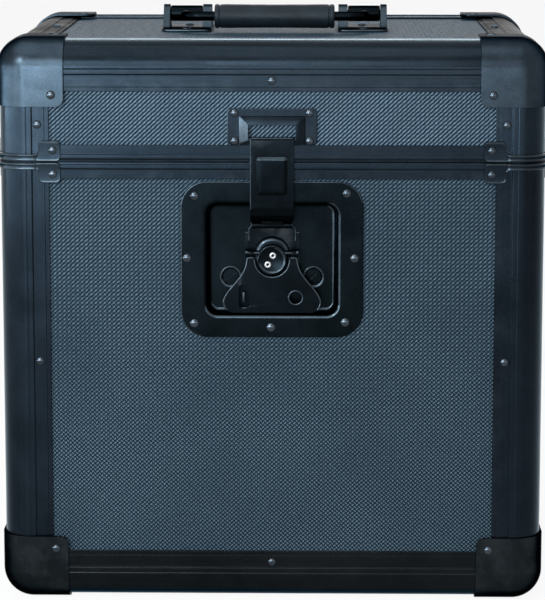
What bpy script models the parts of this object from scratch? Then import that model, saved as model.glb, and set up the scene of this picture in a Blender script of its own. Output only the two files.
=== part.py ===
"""Record carrying case: panelled box and hinged lid, edge extrusions, ball corners, butterfly latch and drop handle."""

import math

import bmesh
import bpy
from mathutils import Matrix, Vector

# The case, measured over its edge extrusions
CASE_WIDTH = 0.3650
CASE_DEPTH = 0.2800
CASE_HEIGHT = 0.3812
LID_HEIGHT = 0.0809
FIT = 0.0003
OVERRUN = 0.0030
BITE = 0.0004

# Edge extrusion: rounded corner, raised rib, stepped leg, lip and panel channel
EDGE_RADIUS = 0.0190
EDGE_LEG = 0.0340
EDGE_STEP = 0.0008
EDGE_WALL = 0.0014
RIB_WIDTH = 0.0035
RIB_SLOPE = 0.0004
LIP_WIDTH = 0.0030
LIP_DROP = 0.0005
WEB_WALL = 0.0013
FLANGE_LENGTH = 0.0080

# Panels and lining
PANEL = 0.0060
LINING = 0.0055

# Ball corner
BALL_WALL = 0.0015
BALL_REACH = 0.0442
BALL_TIP_RADIUS = 0.0050

# Rim frames at the seam
RIM_HEIGHT = 0.0110
RIM_WALL = 0.0012
RIM_BEAD_WIDTH = 0.0030
RIM_BEAD_RISE = 0.0005
RIM_BEAD_PLACE = 0.0012
TONGUE_WIDTH = 0.0016
TONGUE_HEIGHT = 0.0040
GROOVE_DEPTH = 0.0050

# Seam clamp
CLAMP_WALL = 0.0015
CLAMP_TAB_WALL = 0.0012
CLAMP_BAND = 0.0046
CLAMP_BAND_PLACE = 0.0004
CLAMP_TAB_START = 0.0273
CLAMP_TAB_WIDTH = 0.0143
CLAMP_TAB_HEIGHT = 0.0138
CLAMP_TAB_RADIUS = 0.0030
CLAMP_FILLET = 0.0030

# Latch dish
DISH_WIDTH = 0.1220
DISH_HEIGHT = 0.1054
DISH_RADIUS = 0.0175
DISH_TOP_GAP = 0.0020
DISH_PLATE = 0.0012
DISH_LIP = 0.0008
POCKET_SIDE = 0.0169
POCKET_EDGE = 0.01475
POCKET_RADIUS = 0.0080
POCKET_DEPTH = 0.0105
POCKET_DRAFT = 0.0020
POCKET_FILLET = 0.0015
WELL_RADIUS = 0.0064
WELL_DEPTH = 0.0006
WELL_SPREAD = 0.0278
WELL_DROP = 0.0158

# Latch rotor, about the spindle
SPINDLE_DROP = 0.0501
SPINDLE_RADIUS = 0.0025
WASHER_RADIUS = 0.0045
WASHER_WALL = 0.0009
CAM_RADIUS = 0.0065
CAM_THROW = 0.0030
CAM_PLAY = 0.0009
HUB_RADIUS = 0.0120
HUB_WALL = 0.0017
HUB_EASE = 0.0006
DISC_RADIUS = 0.0100
DISC_RIM = 0.0016
DISC_EASE = 0.0007
DISC_SINK = 0.0008
DISC_DROP = 0.0029
DISC_REACH = 0.0060
EAR_OUT = 0.0177
EAR_WALL = 0.0015
EAR_HALF = 0.0022
PIN_RADIUS = 0.0012
WING_AXIS_RISE = 0.0015
WING_AXIS_DEPTH = 0.0028

# Wings
WING_PLATE = 0.0016
WING_TOP_HALF = 0.0172
WING_SIDE_GAP = 0.0111
WING_END_GAP = 0.0019
WING_CORNER = 0.0070
WING_HEAD = 0.0024
NOTCH_GAP = 0.0012
KNUCKLE_RADIUS = 0.0022
KNUCKLE_IN = 0.0122
SLOT_PLACE = 0.0191
SLOT_HALF = 0.0025
SLOT_LENGTH = 0.0165
SLOT_RISE = 0.0027
HOLE_PLACE = 0.0158
HOLE_RISE = 0.0102
HOLE_RADIUS = 0.0042
TONGUE_PLATE = 0.0013
STAPLE_LENGTH = 0.0076
STAPLE_RISE = 0.0064

# Link plate and hook arm
LINK_PLATE = 0.0015
LINK_HALF = 0.0160
LINK_TOP_HALF = 0.0142
LINK_SHOULDER = 0.0055
LINK_SIDE = 0.0045
LINK_PLAY = 0.0004
GUIDE_WIDTH = 0.0018
GUIDE_HEIGHT = 0.0300
ARM_AXIS_RISE = 0.0200
ARM_AXIS_DEPTH = 0.0068
ARM_KNUCKLE = 0.0023
ARM_KNUCKLE_HALF = 0.0076
ARM_HALF = 0.0145
ARM_PLATE = 0.0015
ARM_STANDOFF = 0.0004
ARM_FOOT = 0.0030
ARM_BEND = 0.0060
ARM_TOP_RADIUS = 0.0020
HOOK_REACH = 0.0038
STIFF_HALF = 0.0102
STIFF_RISE = 0.0010
STIFF_SLOPE = 0.0016
STIFF_LOW = 0.0215
STIFF_HIGH = 0.0130

# Keeper on the lid
KEEPER_WIDTH = 0.0600
KEEPER_HEIGHT = 0.0240
KEEPER_RADIUS = 0.0030
KEEPER_PLATE = 0.0012
FRAME_HALF = 0.0218
FRAME_RADIUS = 0.0024
FRAME_RISE = 0.0025
FRAME_SLOPE = 0.0020
FRAME_CREST = 0.0006
FRAME_LOW = 0.0008
FRAME_HIGH = 0.0188
WINDOW_HALF = 0.0157
WINDOW_SILL = 0.0034
WINDOW_HEIGHT = 0.0098

# Handle
BRACKET_CENTRE = 0.0620
BRACKET_WIDTH = 0.0350
BRACKET_LENGTH = 0.0560
BRACKET_PLATE = 0.0015
BRACKET_RADIUS = 0.0040
CHEEK_OUTER = 0.0045
CHEEK_INNER = 0.0065
CHEEK_LENGTH = 0.0260
CHEEK_TOP_RADIUS = 0.0065
HANDLE_AXIS_RISE = 0.0095
HANDLE_PIN = 0.0025
EYE_RADIUS = 0.0056
EYE_PLAY = 0.0005
BAIL_ROD = 0.0033
BAIL_BEND = 0.0110
BAIL_REACH = 0.0300
GRIP_RADIUS = 0.0084
GRIP_LENGTH = 0.0840
GRIP_CROWN = 0.0008
GRIP_COLLAR = 0.0026
GRIP_GROOVE = 0.0010
GRIP_GROOVE_DEPTH = 0.0006

# Rear hinges
HINGE_INSET = 0.0875
HINGE_WIDTH = 0.0400
HINGE_HEIGHT = 0.0360
HINGE_PLATE = 0.0015
HINGE_CORNER = 0.0050
HINGE_RADIUS = 0.0033
HINGE_PIN = 0.0014
HINGE_PLAY = 0.0003
HINGE_KNUCKLE = 0.0130

# Facets
ARC_STEPS = 6
SMALL_STEPS = 3
ROUND_STEPS = 32
PIN_STEPS = 16
SMOOTH_ANGLE = math.radians(35)

# Sizes that follow from those above
SKIN = EDGE_STEP + EDGE_WALL
PANEL_FACE = SKIN + FIT
CHANNEL = PANEL + FIT + FIT
CHANNEL_BACK = SKIN + CHANNEL
RIM_BACK = CHANNEL_BACK + RIM_WALL
LINING_FACE = RIM_BACK + FIT
LINING_BACK = LINING_FACE + LINING
WEB_PLACE = EDGE_RADIUS + LIP_DROP
PANEL_INSET = WEB_PLACE + WEB_WALL + FIT
FLOOR = BALL_WALL + FIT
ROOF = FLOOR + CASE_HEIGHT
SEAM = ROOF - LID_HEIGHT
HALF_WIDTH = CASE_WIDTH / 2
HALF_DEPTH = CASE_DEPTH / 2
FRONT = -HALF_DEPTH
REAR = HALF_DEPTH
BAR_INSET = EDGE_LEG + FIT
PANEL_END = RIM_WALL + FIT + FIT
DISH_TOP = SEAM - RIM_HEIGHT - DISH_TOP_GAP
DISH_MIDDLE = DISH_TOP - DISH_HEIGHT / 2
DISH_FACE = SKIN - DISH_PLATE
DISH_FLOOR = DISH_FACE + POCKET_DEPTH
DISH_BACK = DISH_FLOOR + DISH_PLATE
POCKET_WIDTH = DISH_WIDTH - 2 * POCKET_SIDE
POCKET_HEIGHT = DISH_HEIGHT - 2 * POCKET_EDGE
POCKET_LOW = DISH_MIDDLE - POCKET_HEIGHT / 2
SPINDLE_Z = DISH_TOP - SPINDLE_DROP
LINK_BACK = DISH_FLOOR - LINK_PLAY
LINK_FACE = LINK_BACK - LINK_PLATE
HUB_BACK = LINK_FACE - FIT
HUB_FACE = HUB_BACK - HUB_WALL
DISC_FACE = HUB_FACE - DISC_REACH
WING_AXIS_Z = SPINDLE_Z + WING_AXIS_RISE
WING_FACE = WING_AXIS_DEPTH - WING_PLATE + BITE
WING_BACK = WING_FACE + WING_PLATE
WING_HALF = POCKET_WIDTH / 2 - WING_SIDE_GAP
WING_END = POCKET_LOW + WING_END_GAP
CAM_Z = SPINDLE_Z - CAM_THROW
DISC_Z = SPINDLE_Z - DISC_DROP
ARM_AXIS_Z = SPINDLE_Z + ARM_AXIS_RISE
KEEPER_LOW = SEAM + FIT + RIM_HEIGHT + FIT
KEEPER_FACE = SKIN - KEEPER_PLATE
FRAME_FACE = KEEPER_FACE - FRAME_RISE
WINDOW_LOW = KEEPER_LOW + WINDOW_SILL
HOOK_LOW = WINDOW_LOW + FIT
HOOK_TOP = HOOK_LOW + ARM_PLATE
ARM_BACK = FRAME_FACE - ARM_STANDOFF
ARM_FACE = ARM_BACK - ARM_PLATE
HINGE_Y = REAR + HINGE_RADIUS
HINGE_PLACE = HALF_WIDTH - HINGE_INSET
TOP_SKIN = ROOF - PANEL_FACE
HANDLE_FOOT = TOP_SKIN + FIT
HANDLE_AXIS_Z = HANDLE_FOOT + BRACKET_PLATE + HANDLE_AXIS_RISE


def clear_scene():
    for old in list(bpy.data.objects):
        bpy.data.objects.remove(old, do_unlink=True)


def material(name, colour, roughness, metallic):
    made = bpy.data.materials.new(name)
    made.use_nodes = True
    shader = made.node_tree.nodes["Principled BSDF"]
    shader.inputs["Base Color"].default_value = (*colour, 1)
    shader.inputs["Roughness"].default_value = roughness
    shader.inputs["Metallic"].default_value = metallic
    made.diffuse_color = (*colour, 1)
    return made


def axis_empty(name, place, parent=None):
    empty = bpy.data.objects.new(name, None)
    empty.empty_display_size = EDGE_LEG
    empty.location = place
    bpy.context.scene.collection.objects.link(empty)
    if parent:
        empty.parent = parent
        empty.location = Vector(place) - world_place(parent)
    return empty


def world_place(item):
    place = Vector(item.location)
    while item.parent:
        item = item.parent
        place = place + Vector(item.location)
    return place


def add_object(name, mesh_maker, finish, origin=(0, 0, 0), parent=None, turn=None):
    """Link a mesh made in world coordinates, with its own origin moved to the given point."""
    if isinstance(mesh_maker, bpy.types.Mesh):
        mesh = mesh_maker
    else:
        bmesh.ops.recalc_face_normals(mesh_maker, faces=mesh_maker.faces)
        bmesh.ops.translate(mesh_maker, verts=mesh_maker.verts, vec=-Vector(origin))
        mesh = bpy.data.meshes.new(name)
        mesh_maker.to_mesh(mesh)
        mesh_maker.free()
        mesh.shade_smooth()
        mesh.set_sharp_from_angle(angle=SMOOTH_ANGLE)
        mesh.materials.append(finish)
    made = bpy.data.objects.new(name, mesh)
    made.location = origin
    if parent:
        made.parent = parent
        made.location = Vector(origin) - world_place(parent)
    if turn:
        made.rotation_euler = turn.to_euler()
    bpy.context.scene.collection.objects.link(made)
    return made


def combine(target, maker, operation):
    """Join to the target, or cut from it, a solid made in world coordinates."""
    tool = add_object(target.name + "_tool", maker, target.data.materials[0])
    tool.hide_render = True
    tool.display_type = "WIRE"
    step = target.modifiers.new(operation.lower(), "BOOLEAN")
    step.operation = operation
    step.solver = "EXACT"
    step.object = tool


def join(target, *makers):
    for maker in makers:
        combine(target, maker, "UNION")


def cut(target, *makers):
    for maker in makers:
        combine(target, maker, "DIFFERENCE")


def baked(item):
    """The mesh of an object with its modifiers applied; the object and its tools are removed."""
    graph = bpy.context.evaluated_depsgraph_get()
    mesh = bpy.data.meshes.new_from_object(item.evaluated_get(graph))
    tools = [step.object for step in item.modifiers]
    for old in [item, *tools]:
        bpy.data.objects.remove(old, do_unlink=True)
    mesh.shade_smooth()
    mesh.set_sharp_from_angle(angle=SMOOTH_ANGLE)
    return mesh


# Turns an outline's (a, b) and a height h into a point, by the axis that the height runs along
PLACERS = {
    "X": lambda a, b, h: (h, a, b),
    "Y": lambda a, b, h: (a, h, b),
    "Z": lambda a, b, h: (a, b, h),
}


def loft(loops, ring=False):
    """A closed solid through loops of equally many points, capped at both ends or joined into a ring."""
    maker = bmesh.new()
    rows = [[maker.verts.new(point) for point in loop] for loop in loops]
    pairs = list(zip(rows, rows[1:]))
    if ring:
        pairs.append((rows[-1], rows[0]))
    else:
        maker.faces.new(rows[0])
        maker.faces.new(rows[-1])
    for low, high in pairs:
        count = len(low)
        for k in range(count):
            after = (k + 1) % count
            maker.faces.new((low[k], low[after], high[after], high[k]))
    return maker


def prism(outline, low, high, axis):
    place = PLACERS[axis]
    return loft([[place(a, b, h) for a, b in outline] for h in (low, high)])


def box(low, high):
    outline = [(low[0], low[1]), (high[0], low[1]), (high[0], high[1]), (low[0], high[1])]
    return prism(outline, low[2], high[2], "Z")


def arc(centre, radius, start, end, steps):
    """Points along an arc, both ends included."""
    points = []
    for k in range(steps + 1):
        angle = math.radians(start + (end - start) * k / steps)
        points.append((centre[0] + radius * math.cos(angle), centre[1] + radius * math.sin(angle)))
    return points


def circle(centre, radius, steps):
    return arc(centre, radius, 0, 360, steps)[:-1]


def rounded(low, high, radius, steps=SMALL_STEPS):
    """A rectangle's outline with round corners."""
    points = arc((high[0] - radius, high[1] - radius), radius, 0, 90, steps)
    points += arc((low[0] + radius, high[1] - radius), radius, 90, 180, steps)
    points += arc((low[0] + radius, low[1] + radius), radius, 180, 270, steps)
    points += arc((high[0] - radius, low[1] + radius), radius, 270, 360, steps)
    return points


def rod(centre, radius, low, high, axis, steps=PIN_STEPS):
    return prism(circle(centre, radius, steps), low, high, axis)


def grown(half_a, half_b, radius, extra, middle, steps=ARC_STEPS):
    """A rounded rectangle about a middle point, widened all round by the extra."""
    low = (middle[0] - half_a - extra, middle[1] - half_b - extra)
    high = (middle[0] + half_a + extra, middle[1] + half_b + extra)
    return rounded(low, high, radius + extra, steps)


def edge_profile():
    """Cross-section of the edge extrusion, from the case's corner along two faces."""
    half = [
        (EDGE_LEG, SKIN),
        (EDGE_LEG, EDGE_STEP + LIP_DROP),
        (EDGE_LEG - LIP_WIDTH, EDGE_STEP + LIP_DROP),
        (EDGE_LEG - LIP_WIDTH, EDGE_STEP),
        (EDGE_RADIUS + RIB_WIDTH + RIB_SLOPE, EDGE_STEP),
        (EDGE_RADIUS + RIB_WIDTH, 0),
    ]
    outer = arc((EDGE_RADIUS, EDGE_RADIUS), EDGE_RADIUS, 270, 180, ARC_STEPS)
    inner = arc((EDGE_RADIUS, EDGE_RADIUS), EDGE_RADIUS - SKIN, 180, 270, ARC_STEPS)
    tip = RIM_BACK
    web = [
        (SKIN, WEB_PLACE + WEB_WALL),
        (CHANNEL_BACK, WEB_PLACE + WEB_WALL),
        (CHANNEL_BACK, WEB_PLACE + FLANGE_LENGTH),
        (tip, WEB_PLACE + FLANGE_LENGTH),
        (tip, WEB_PLACE),
        (SKIN, WEB_PLACE),
    ]
    mirrored_half = [(b, a) for a, b in reversed(half)]
    mirrored_web = [(b, a) for a, b in reversed(web)]
    return half + outer + mirrored_half + web + inner + mirrored_web


def basis(u, v, w):
    return Matrix((u, v, w)).transposed()


def edge_mesh(name, length, finish):
    maker = prism(edge_profile(), 0, length, "Z")
    bmesh.ops.recalc_face_normals(maker, faces=maker.faces)
    mesh = bpy.data.meshes.new(name)
    maker.to_mesh(mesh)
    maker.free()
    mesh.shade_smooth()
    mesh.set_sharp_from_angle(angle=SMOOTH_ANGLE)
    mesh.materials.append(finish)
    return mesh


def notched_upright(name, length, finish):
    """An upright whose web and channel stop short of the rim, at its far end."""
    blank = add_object(name, edge_mesh(name, length, finish), finish)
    near = WEB_PLACE - BITE
    far = WEB_PLACE + FLANGE_LENGTH + OVERRUN
    low = length - RIM_HEIGHT - FIT
    high = length + OVERRUN
    shallow = SKIN + FIT / 2
    deep = RIM_BACK + OVERRUN
    cut(blank, box((near, shallow, low), (far, deep, high)))
    cut(blank, box((shallow, near, low), (deep, far, high)))
    return baked(blank)


CORNERS = {"front_left": (-1, -1), "front_right": (1, -1), "back_right": (1, 1), "back_left": (-1, 1)}


def corner_turn(sx, sy, sz):
    """A rotation that points a part's own +X, +Y, +Z, in some order, into the case from a corner."""
    x_way = Vector((-sx, 0, 0))
    y_way = Vector((0, -sy, 0))
    z_way = Vector((0, 0, -sz))
    turn = basis(x_way, y_way, z_way)
    if turn.determinant() < 0:
        turn = basis(y_way, x_way, z_way)
    return turn


def build_uprights(finish, lid):
    body_mesh = notched_upright("body_upright", SEAM - FIT - FLOOR - BAR_INSET, finish)
    lid_mesh = notched_upright("lid_upright", ROOF - SEAM - FIT - BAR_INSET, finish)
    for label, (sx, sy) in CORNERS.items():
        foot = (sx * HALF_WIDTH, sy * HALF_DEPTH, FLOOR + BAR_INSET)
        add_object("upright_" + label, body_mesh, finish, foot, None, corner_turn(sx, sy, -1))
        head = (sx * HALF_WIDTH, sy * HALF_DEPTH, ROOF - BAR_INSET)
        add_object("lid_upright_" + label, lid_mesh, finish, head, lid, corner_turn(sx, sy, 1))


def build_edge_bars(finish, lid):
    """The extrusions along the bottom of the case and the top of the lid."""
    across = edge_mesh("edge_across", CASE_WIDTH - 2 * BAR_INSET, finish)
    along = edge_mesh("edge_along", CASE_DEPTH - 2 * BAR_INSET, finish)
    right = Vector((1, 0, 0))
    back = Vector((0, 1, 0))
    up = Vector((0, 0, 1))
    for prefix, height, inward, parent in (("edge_", FLOOR, up, None), ("lid_edge_", ROOF, -up, lid)):
        runs = (
            ("front", (-HALF_WIDTH + BAR_INSET, FRONT, height), back, right, across),
            ("back", (-HALF_WIDTH + BAR_INSET, REAR, height), -back, right, across),
            ("left", (-HALF_WIDTH, FRONT + BAR_INSET, height), right, back, along),
            ("right", (HALF_WIDTH, FRONT + BAR_INSET, height), -right, back, along),
        )
        for label, start, face_way, run_way, mesh in runs:
            turn = basis(face_way, inward, run_way)
            if turn.determinant() < 0:
                turn = basis(inward, face_way, run_way)
            add_object(prefix + label, mesh, finish, start, parent, turn)


def edge_middle(edge):
    return (edge.verts[0].co + edge.verts[1].co) / 2


def round_off(maker, edges, radius, steps):
    bmesh.ops.bevel(
        maker, geom=edges, offset=radius, segments=steps, profile=0.5, affect="EDGES", clamp_overlap=False
    )


def ball_block(offset, radius, reach, tip):
    """A cube from the case's corner with its three near edges and the corner itself rounded."""
    maker = bmesh.new()
    bmesh.ops.create_cube(maker, size=1)
    size = reach - offset
    middle = offset + size / 2
    bmesh.ops.scale(maker, verts=maker.verts, vec=(size, size, size))
    bmesh.ops.translate(maker, verts=maker.verts, vec=(middle, middle, middle))
    far = [edge for edge in maker.edges if sum(1 for value in edge_middle(edge) if value > reach - BITE) == 2]
    if tip:
        round_off(maker, far, tip, SMALL_STEPS)
    near = [edge for edge in maker.edges if sum(1 for value in edge_middle(edge) if value < offset + BITE) == 2]
    round_off(maker, near, radius, ARC_STEPS)
    return maker


def build_ball_corners(finish, lid):
    outer = -FIT - BALL_WALL
    inner = -FIT
    blank = add_object(
        "ball", ball_block(outer, EDGE_RADIUS + FIT + BALL_WALL, BALL_REACH, BALL_TIP_RADIUS), finish
    )
    cut(blank, ball_block(inner, EDGE_RADIUS + FIT, BALL_REACH + OVERRUN, 0))
    mesh = baked(blank)
    for label, (sx, sy) in CORNERS.items():
        foot = (sx * HALF_WIDTH, sy * HALF_DEPTH, FLOOR)
        add_object("ball_" + label, mesh, finish, foot, None, corner_turn(sx, sy, -1))
        head = (sx * HALF_WIDTH, sy * HALF_DEPTH, ROOF)
        add_object("lid_ball_" + label, mesh, finish, head, lid, corner_turn(sx, sy, 1))


def rim_ring(profile):
    """Sweeps a cross-section, in depth and height, round the case's rounded plan."""
    loops = []
    spread_x = HALF_WIDTH - EDGE_RADIUS
    spread_y = HALF_DEPTH - EDGE_RADIUS
    for sx, sy, start in ((1, 1, 0), (-1, 1, 90), (-1, -1, 180), (1, -1, 270)):
        for k in range(ARC_STEPS + 1):
            angle = math.radians(start + 90 * k / ARC_STEPS)
            loop = []
            for depth, height in profile:
                reach = EDGE_RADIUS - depth
                x = sx * spread_x + reach * math.cos(angle)
                y = sy * spread_y + reach * math.sin(angle)
                loop.append((x, y, height))
            loops.append(loop)
    return loft(loops, ring=True)


def band_profile(side):
    """The visible band of a rim frame, with its bead and the tongue that reaches into the frame."""
    start = FIT
    bead = start + RIM_BEAD_PLACE
    points = [
        (EDGE_STEP, start),
        (EDGE_STEP, bead),
        (EDGE_STEP - RIM_BEAD_RISE, bead + RIM_BEAD_RISE),
        (EDGE_STEP - RIM_BEAD_RISE, bead + RIM_BEAD_WIDTH),
        (EDGE_STEP, bead + RIM_BEAD_WIDTH + RIM_BEAD_RISE),
        (EDGE_STEP, start + RIM_HEIGHT),
        (SKIN, start + RIM_HEIGHT),
    ]
    if side < 0:
        low = start + FIT
        high = start + RIM_WALL - FIT
    else:
        low = start + GROOVE_DEPTH + FIT
        high = start + GROOVE_DEPTH + RIM_WALL - FIT
    deep = SKIN + CHANNEL / 2
    points += [(SKIN, high), (deep, high), (deep, low), (SKIN, low), (SKIN, start)]
    return [(depth, SEAM + side * height) for depth, height in points]


def build_rims(finish, lid):
    start = FIT
    low = SEAM - start
    tongue_face = SKIN + (CHANNEL - TONGUE_WIDTH) / 2
    body_profile = [
        (PANEL_FACE, low - RIM_WALL),
        (PANEL_FACE, low),
        (tongue_face, low),
        (tongue_face, low + TONGUE_HEIGHT),
        (tongue_face + TONGUE_WIDTH, low + TONGUE_HEIGHT),
        (tongue_face + TONGUE_WIDTH, low),
        (RIM_BACK, low),
        (RIM_BACK, low - RIM_HEIGHT),
        (CHANNEL_BACK, low - RIM_HEIGHT),
        (CHANNEL_BACK, low - RIM_WALL),
    ]
    high = SEAM + start
    web = high + GROOVE_DEPTH
    lid_profile = [
        (PANEL_FACE, web),
        (CHANNEL_BACK, web),
        (CHANNEL_BACK, high),
        (RIM_BACK, high),
        (RIM_BACK, high + RIM_HEIGHT),
        (CHANNEL_BACK, high + RIM_HEIGHT),
        (CHANNEL_BACK, web + RIM_WALL),
        (PANEL_FACE, web + RIM_WALL),
    ]
    reach_x = HALF_WIDTH - BAR_INSET
    reach_y = HALF_DEPTH - BAR_INSET
    for name, profile, side, parent in (("rim_body", body_profile, -1, None), ("rim_lid", lid_profile, 1, lid)):
        origin = (0, 0, SEAM) if parent is None else (0, HINGE_Y, SEAM)
        rim = add_object(name, rim_ring(profile), finish, origin, parent)
        front_band = [(FRONT + depth, height) for depth, height in band_profile(side)]
        back_band = [(REAR - depth, height) for depth, height in band_profile(side)]
        left_band = [(-HALF_WIDTH + depth, height) for depth, height in band_profile(side)]
        right_band = [(HALF_WIDTH - depth, height) for depth, height in band_profile(side)]
        join(rim, prism(front_band, -reach_x, reach_x, "X"), prism(back_band, -reach_x, reach_x, "X"))
        join(rim, prism(left_band, -reach_y, reach_y, "Y"), prism(right_band, -reach_y, reach_y, "Y"))


def build_clamps(finish, lid):
    """One clamp in its own corner: a band round the rounded edge and a tab on each face."""
    outer = -FIT - CLAMP_WALL
    inner = -FIT
    tab_back = EDGE_STEP - RIM_BEAD_RISE - FIT
    tab_face = tab_back - CLAMP_TAB_WALL
    reach = CLAMP_TAB_START + OVERRUN
    middle = (EDGE_RADIUS, EDGE_RADIUS)
    outline = [(reach, outer)]
    outline += arc(middle, EDGE_RADIUS - outer, 270, 180, ARC_STEPS)
    outline += [(outer, reach), (inner, reach)]
    outline += arc(middle, EDGE_RADIUS - inner, 180, 270, ARC_STEPS)
    outline += [(reach, inner)]
    low = FIT + CLAMP_BAND_PLACE
    blank = add_object("clamp", prism(outline, low, low + CLAMP_BAND, "Z"), finish)
    tab_low = (CLAMP_TAB_START, FIT)
    tab_high = (CLAMP_TAB_START + CLAMP_TAB_WIDTH, FIT + CLAMP_TAB_HEIGHT)
    tab = rounded(tab_low, tab_high, CLAMP_TAB_RADIUS)
    join(blank, prism(tab, tab_face, tab_back, "Y"), prism(tab, tab_face, tab_back, "X"))
    band_top = low + CLAMP_BAND
    start = CLAMP_TAB_START - CLAMP_FILLET
    fillet = arc((start, band_top + CLAMP_FILLET), CLAMP_FILLET, -90, 0, SMALL_STEPS)
    fillet += [(CLAMP_TAB_START + BITE, band_top + CLAMP_FILLET), (CLAMP_TAB_START + BITE, band_top - BITE)]
    fillet.append((start, band_top - BITE))
    fillet_face = tab_face + BITE / 2
    fillet_back = inner + BITE / 2
    join(blank, prism(fillet, fillet_face, fillet_back, "Y"), prism(fillet, fillet_face, fillet_back, "X"))
    mesh = baked(blank)
    for label, (sx, sy) in CORNERS.items():
        place = (sx * HALF_WIDTH, sy * HALF_DEPTH, SEAM)
        add_object("clamp_" + label, mesh, finish, place, None, corner_turn(sx, sy, 1))
        add_object("lid_clamp_" + label, mesh, finish, place, lid, corner_turn(sx, sy, -1))


def build_panels(finish, lid):
    near = PANEL_FACE
    far = PANEL_FACE + PANEL
    inset = PANEL_INSET
    body_low = FLOOR + inset
    body_high = SEAM - FIT - PANEL_END
    lid_low = SEAM + FIT + GROOVE_DEPTH + RIM_WALL + FIT
    lid_high = ROOF - inset
    reach_x = HALF_WIDTH - inset
    reach_y = HALF_DEPTH - inset
    for prefix, low, high, parent in (("panel_", body_low, body_high, None), ("lid_panel_", lid_low, lid_high, lid)):
        walls = (
            ("front", (-reach_x, FRONT + near, low), (reach_x, FRONT + far, high)),
            ("back", (-reach_x, REAR - far, low), (reach_x, REAR - near, high)),
            ("left", (-HALF_WIDTH + near, -reach_y, low), (-HALF_WIDTH + far, reach_y, high)),
            ("right", (HALF_WIDTH - far, -reach_y, low), (HALF_WIDTH - near, reach_y, high)),
        )
        for label, start, end in walls:
            add_object(prefix + label, box(start, end), finish, start, parent)
    bottom_low = (-reach_x, -reach_y, FLOOR + near)
    add_object("panel_bottom", box(bottom_low, (reach_x, reach_y, FLOOR + far)), finish, bottom_low)
    top_low = (-reach_x, -reach_y, ROOF - far)
    add_object("lid_panel_top", box(top_low, (reach_x, reach_y, ROOF - near)), finish, top_low, lid)
    hole = grown(POCKET_WIDTH / 2, POCKET_HEIGHT / 2, POCKET_RADIUS, DISH_PLATE + FIT, (0, DISH_MIDDLE))
    cut(bpy.data.objects["panel_front"], prism(hole, FRONT, FRONT + far + OVERRUN, "Y"))


def tray(inset, low, high):
    """A block with round upright corners, set in all round from the case's outer faces."""
    outline = grown(HALF_WIDTH, HALF_DEPTH, EDGE_RADIUS, -inset, (0, 0))
    return prism(outline, low, high, "Z")


def build_linings(finish, lid):
    low = FLOOR + LINING_FACE
    high = SEAM - FIT - FIT
    body = add_object("lining_body", tray(LINING_FACE, low, high), finish)
    cut(body, tray(LINING_BACK, low + LINING, high + OVERRUN))
    pocket = grown(POCKET_WIDTH / 2, POCKET_HEIGHT / 2, POCKET_RADIUS, DISH_PLATE + FIT, (0, DISH_MIDDLE))
    depth = DISH_BACK + FIT + WASHER_WALL + FIT
    cut(body, prism(pocket, FRONT + LINING_FACE - OVERRUN, FRONT + depth, "Y"))
    low = SEAM + FIT + FIT
    high = ROOF - LINING_FACE
    cover = add_object("lining_lid", tray(LINING_FACE, low, high), finish, (0, HINGE_Y, SEAM), lid)
    cut(cover, tray(LINING_BACK, low - OVERRUN, high - LINING))


def build_dish(finish):
    middle = (0, DISH_MIDDLE)
    flange = (DISH_WIDTH / 2, DISH_HEIGHT / 2, DISH_RADIUS)
    mouth = (POCKET_WIDTH / 2, POCKET_HEIGHT / 2, POCKET_RADIUS)
    foot = -POCKET_DRAFT
    base = foot - POCKET_FILLET
    stages = (
        (mouth, base + DISH_PLATE / 2, DISH_BACK),
        (mouth, foot + DISH_PLATE, DISH_FLOOR - POCKET_FILLET + DISH_PLATE / 2),
        (mouth, DISH_PLATE, SKIN),
        (flange, 0, SKIN),
        (flange, 0, DISH_FACE + DISH_PLATE / 2),
        (flange, -DISH_PLATE / 2, DISH_FACE),
        (mouth, DISH_LIP, DISH_FACE),
        (mouth, 0, DISH_FACE + DISH_LIP),
        (mouth, foot, DISH_FLOOR - POCKET_FILLET),
        (mouth, base, DISH_FLOOR),
    )
    loops = []
    for (half_a, half_b, radius), extra, depth in stages:
        outline = grown(half_a, half_b, radius, extra, middle)
        loops.append([(a, FRONT + depth, b) for a, b in outline])
    dish = add_object("latch_dish", loft(loops), finish, (0, FRONT + DISH_FLOOR, SPINDLE_Z))
    inside = FRONT + DISH_FLOOR + BITE
    guide_in = LINK_HALF + FIT
    guide_out = guide_in + GUIDE_WIDTH
    guide_low = SPINDLE_Z - GUIDE_HEIGHT / 2
    for side in (-1, 1):
        xs = sorted((side * guide_in, side * guide_out))
        face = FRONT + LINK_FACE + BITE / 2
        join(dish, box((xs[0], face, guide_low), (xs[1], inside, guide_low + GUIDE_HEIGHT)))
        well = (side * WELL_SPREAD, SPINDLE_Z - WELL_DROP)
        cut(dish, rod(well, WELL_RADIUS, FRONT + DISH_FLOOR - OVERRUN, FRONT + DISH_FLOOR + WELL_DEPTH, "Y", PIN_STEPS))
    staple_foot = WING_END + STAPLE_RISE
    staple_low = (-SLOT_PLACE - TONGUE_PLATE / 2, FRONT + WING_BACK + BITE, staple_foot)
    staple_high = (-SLOT_PLACE + TONGUE_PLATE / 2, inside, staple_foot + STAPLE_LENGTH)
    join(dish, box(staple_low, staple_high))
    hole = SPINDLE_RADIUS + FIT
    cut(dish, rod((0, SPINDLE_Z), hole, FRONT + DISH_FLOOR - OVERRUN, FRONT + DISH_BACK + OVERRUN, "Y"))


def turned(centre, profile):
    """A solid turned about a front-to-back axis, through rings of (radius, depth)."""
    return loft([[(a, depth, b) for a, b in circle(centre, radius, ROUND_STEPS)] for radius, depth in profile])


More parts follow.
